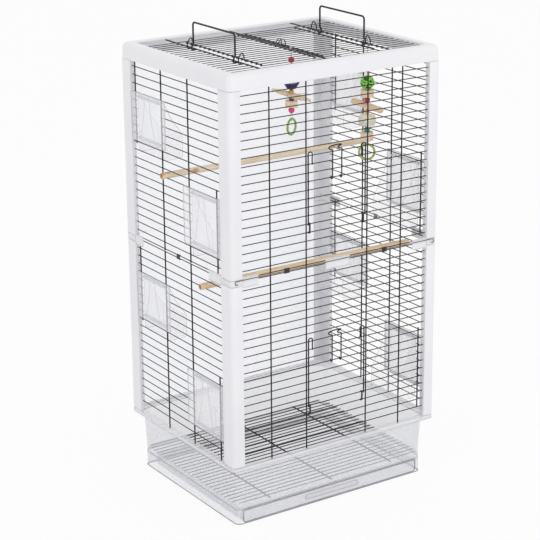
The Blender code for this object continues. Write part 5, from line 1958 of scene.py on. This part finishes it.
@dataclass
class RightToy(Toy):
    """The toy on a roof row: vine ball, blocks, stick, beads, loofah and ring."""

    x: float = 0.166
    y: float = -3 * CAGE.roof_pitch
    top: float = 0.8364
    foot: float = 0.8364 - 0.1945
    ring_turn: float = TOY_TURN
    body: str = "toy_right"

    def ball(self) -> None:
        """Builds the ball from bent vine bands that pass over and under each other, with painted shade in its
        dark inner bands.
        """
        sketch = self.hung(0.0795)
        # The inner layer takes the dark green of painted shade.
        for layer, bands, radius, vine in ((0, 7, 0.0122, 0.00100), (1, 9, 0.0096, 0.00115)):
            for k in range(bands):
                rise = 1 - 2 * (k + 0.5) / bands
                spin = k * GOLDEN_TURN + layer
                flat = sqrt(1 - rise * rise)
                axis = Vector((flat * cos(spin), flat * sin(spin), rise))
                turn = axis.to_track_quat("Z", "Y").to_matrix()
                path = []
                for j in range(40):
                    a = 2 * pi * j / 40
                    reach = radius + 0.0005 * sin(5 * a + k)
                    sway = 0.0016 * sin(2 * a + k)
                    path.append(turn @ Vector((reach * cos(a), reach * sin(a), sway)))
                sketch.tube(path, vine if k % 3 else vine * 1.2, 8, layer, closed=True)
        finishes, node = [Finishes.vine, Finishes.vine_inner_shade], "toy_right_ball"
        sketch.piece(f"{node}_weave", finishes, self.body, [node], "green_vine", angle=60)

    def stick(self) -> None:
        """Builds the flat stick with round ends."""
        drop, length, half, tip = 0.1238, 0.064, 0.0074, 0.0062
        sketch = self.hung(drop, toy_tilt(20, 40))
        outline = []
        for s, start in ((1, -90), (-1, 90)):
            outline += arc((s * (length / 2 - tip), 0, 0), tip, start, start + 180, 12, X, Y)
        outline = [(p.x, p.y * (half / tip if abs(p.x) < length / 4 else 1)) for p in outline]
        sketch.slab(outline, -0.0019, 0.0019)
        bore = self.hung(drop)
        bore.turned([(self.string + 0.0005, z) for z in (-0.02, 0.02)], 16)
        sketch.cutters.append(bore)
        node = "toy_right_stick"
        sketch.piece(f"{node}_flat", [Finishes.stick], self.body, [node], "wood", ease=0.0009)

    def loofah(self) -> None:
        """Builds the loofah slice: a pitted core under a net of fine fibres."""
        sketch = self.hung(0.1516)
        profile = [(0.0013, -0.0100), (0.0100, -0.0103), (0.0128, -0.0086), (0.0148, -0.0050),
                   (0.0154, 0.0000), (0.0152, 0.0042), (0.0132, 0.0082), (0.0102, 0.0098), (0.0013, 0.0098)]
        steps = 48
        loops = []
        for reach, z in profile:
            loop = []
            for k in range(steps):
                angle = 2 * pi * k / steps
                spot = Vector((cos(angle), sin(angle), z * 90))
                pit = 0.0009 * noise.noise(spot * 3.1) if reach > 0.005 else 0.0
                loop.append(((reach + pit) * cos(angle), (reach + pit) * sin(angle), z + pit * 0.5))
            loops.append(loop)
        sketch.loft(loops, closed=True)
        for k in range(72):
            angle = k * GOLDEN_TURN
            lean = 0.9 * sin(k * 1.7)
            low, high = -0.0100 + 0.004 * ((k * 7) % 5) / 5, 0.0098 - 0.004 * ((k * 3) % 5) / 5
            path = []
            for j in range(9):
                t = j / 8
                z = low + (high - low) * t
                bulge = 0.0125 + 0.0036 * sin(pi * (z + 0.0108) / 0.0214) ** 0.7
                a = angle + lean * (t - 0.5) + 0.14 * sin(9 * t + k)
                reach = bulge + 0.0004 * sin(11 * t + 3 * k)
                path.append((reach * cos(a), reach * sin(a), z))
            sketch.tube(path, 0.00034, 5)
        node = "toy_right_loofah"
        sketch.piece(f"{node}_slice", [Finishes.loofah], self.body, [node], "loofah", angle=70)

    def build(self) -> None:
        """Builds the toy's pieces from the hook down."""
        self.cord(Y, CAGE.row_wire / sqrt(2), (0.0630, 0.1400, 0.1905))
        self.ball()
        self.add_block("upper_block", 0.1000, 0.0115, 0.0130)
        self.add_bead("bead_red", 0.1121, 1.0, Finishes.red)
        self.stick()
        self.add_bead("bead_yellow", 0.1348, 0.9, Finishes.yellow)
        self.loofah()
        self.add_bead("bead_teal", 0.1700, 1.0, Finishes.teal)
        self.add_block("lower_block", 0.1815, 0.0115, 0.0140)
        self.add_ring(Finishes.olive_ring, 0.1)


@dataclass
class BackSheets:
    """The two milky sheets that close the back, each with a raised border and a lap at the joint."""

    setback: float = 0.0025
    thick: float = 0.0020
    border: float = 0.012
    recess: float = 0.0006

    def build(self) -> None:
        """Builds both sheets."""
        half = CAGE.width / 2 - CAGE.front_leaf - CAGE.gap
        back = CAGE.depth / 2 - self.setback
        stand = Matrix(((-1, 0, 0, 0), (0, 0, 1, 0), (0, 1, 0, 0), (0, 0, 0, 1)))
        steps = ((0.0, 0.0010, -self.thick), (0.0, 0.0010, 0.0), (self.border - 0.0006, 0.0012, 0.0),
                 (self.border, 0.0016, -self.recess / 3), (self.border + 0.0004, 0.0020, -self.recess))
        for section in Section:
            low, high = CAGE.post_span(section)
            if section is Section.UPPER:
                low = CAGE.joint + CAGE.gap
            else:
                high = CAGE.joint - CAGE.gap
            middle, tall = (low + high) / 2, (high - low) / 2
            sketch = Sketch(at(0, back, middle) @ stand)
            sketch.loft([rounded_loop(half - inset, tall - inset, *rest, 4) for inset, *rest in steps])
            name = f"{section.value}_back_sheet"
            sketch.piece(f"{name}_panel", [Finishes.sheet], "frame", [name], "back_sheet", ease=0.0003)


@dataclass
class Studio:
    """Pale floor, soft light and the camera at the photograph's angle."""

    azimuth: float = -33.62
    elevation: float = 18.32
    roll: float = -0.51
    distance: float = 3.4265
    focal_px: float = 1809.6
    shift_right: float = -0.0203
    target_z: float = 0.4081
    lamp_target_z: float = 0.42
    floor_reach: float = 40.0

    def camera(self) -> None:
        """Places the camera."""
        az, roll = radians(self.azimuth), radians(self.roll)
        back = heading(self.azimuth, self.elevation)
        flat = Vector((cos(az), sin(az), 0))
        rise = back.cross(flat)
        right = flat * cos(roll) + rise * sin(roll)
        up = rise * cos(roll) - flat * sin(roll)
        lens = bpy.data.cameras.new("camera")
        lens.sensor_width, lens.lens = SENSOR_MM, self.focal_px / PICTURE_PX * SENSOR_MM
        lens.clip_start, lens.clip_end = 0.05, 60
        camera = add_object("camera", lens)
        place = Matrix((right, up, back)).transposed().to_4x4()
        place.translation = right * self.shift_right + Z * self.target_z + back * self.distance
        camera.matrix_world = place
        bpy.context.scene.camera = camera

    def floor(self) -> None:
        """Lays the pale floor, which the camera sees nearly white and which keeps the shadow."""
        mesh, reach = bpy.data.meshes.new("studio_floor"), self.floor_reach
        mesh.from_pydata([(sx * reach, sy * reach, 0) for sx, sy in CORNERS], [], [(0, 1, 2, 3)])
        floor = add_object("studio_floor", mesh)
        shader = Shader(bpy.data.materials.new("floor_white"))
        plain = shader.node("ShaderNodeBsdfDiffuse", None, {"Color": "#F8F8F9"})
        glow = shader.node("ShaderNodeEmission", None, {"Color": (1, 1, 1, 1), "Strength": 1.0})
        mixed = shader.node("ShaderNodeMixShader", None, {0: shader.seen() * 0.9, 1: plain, 2: glow})
        mesh.materials.append(shader.end(mixed))

    def world(self) -> None:
        """Fills the room with soft light that shows white behind the cage."""
        world = bpy.data.worlds.new("studio_world")
        bpy.context.scene.world = world
        shader = Shader(world)
        strength = 0.81 + shader.seen() * 0.19
        shader.end(shader.node("ShaderNodeBackground", None, {"Color": (1, 1, 1, 1), "Strength": strength}))

    def lamp(self, name: str, azimuth: float, elevation: float, distance: float, size: float,
             power: float) -> None:
        """Adds a soft area lamp that faces the cage.

        Args:
            name: Its name.
            azimuth: Its direction in degrees, zero in front of the cage and positive to the right.
            elevation: Its angle above the floor.
            distance: How far it is from the cage's middle.
            size: Its width and height.
            power: Its power in watts.
        """
        back = heading(azimuth, elevation)
        light = bpy.data.lights.new(name, "AREA")
        light.shape, light.size, light.energy = "SQUARE", size, power
        lamp = add_object(name, light)
        lamp.location = Z * self.lamp_target_z + back * distance
        lamp.rotation_mode = "QUATERNION"
        lamp.rotation_quaternion = (-back).to_track_quat("-Z", "Y")

    def build(self) -> None:
        """Sets up the whole studio."""
        self.camera()
        self.floor()
        self.world()
        self.lamp("key_light", 8, 16, 3.6, 2.4, 19)
        self.lamp("side_light", -72, 22, 3.6, 2.4, 10)
        self.lamp("top_light", 10, 82, 3.0, 2.0, 3)
        bpy.context.scene.view_settings.view_transform = "Standard"
        bpy.context.scene.cycles.transparent_max_bounces = 64


def main() -> None:
    """Builds the cage's pieces in order and reports each."""
    logging.basicConfig(level=logging.INFO, format="%(name)s %(message)s")
    Studio().build()
    Base().build()
    Posts().build()
    WireWalls().build()
    BackSheets().build()
    for section in Section:
        Door(section).build()
        for side, end in product(Side, End):
            Feeder(section, side, end).build()
    Joint().build()
    TopRing().build()
    Roof().build()
    Perch("perch_upper", Section.UPPER, 12, 0.036, Finishes.perch).build()
    Perch("perch_lower", Section.LOWER, 1, -0.090, Finishes.perch_low).build()
    LeftToy().build()
    RightToy().build()
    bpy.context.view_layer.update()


if __name__ == "__main__":
    main()
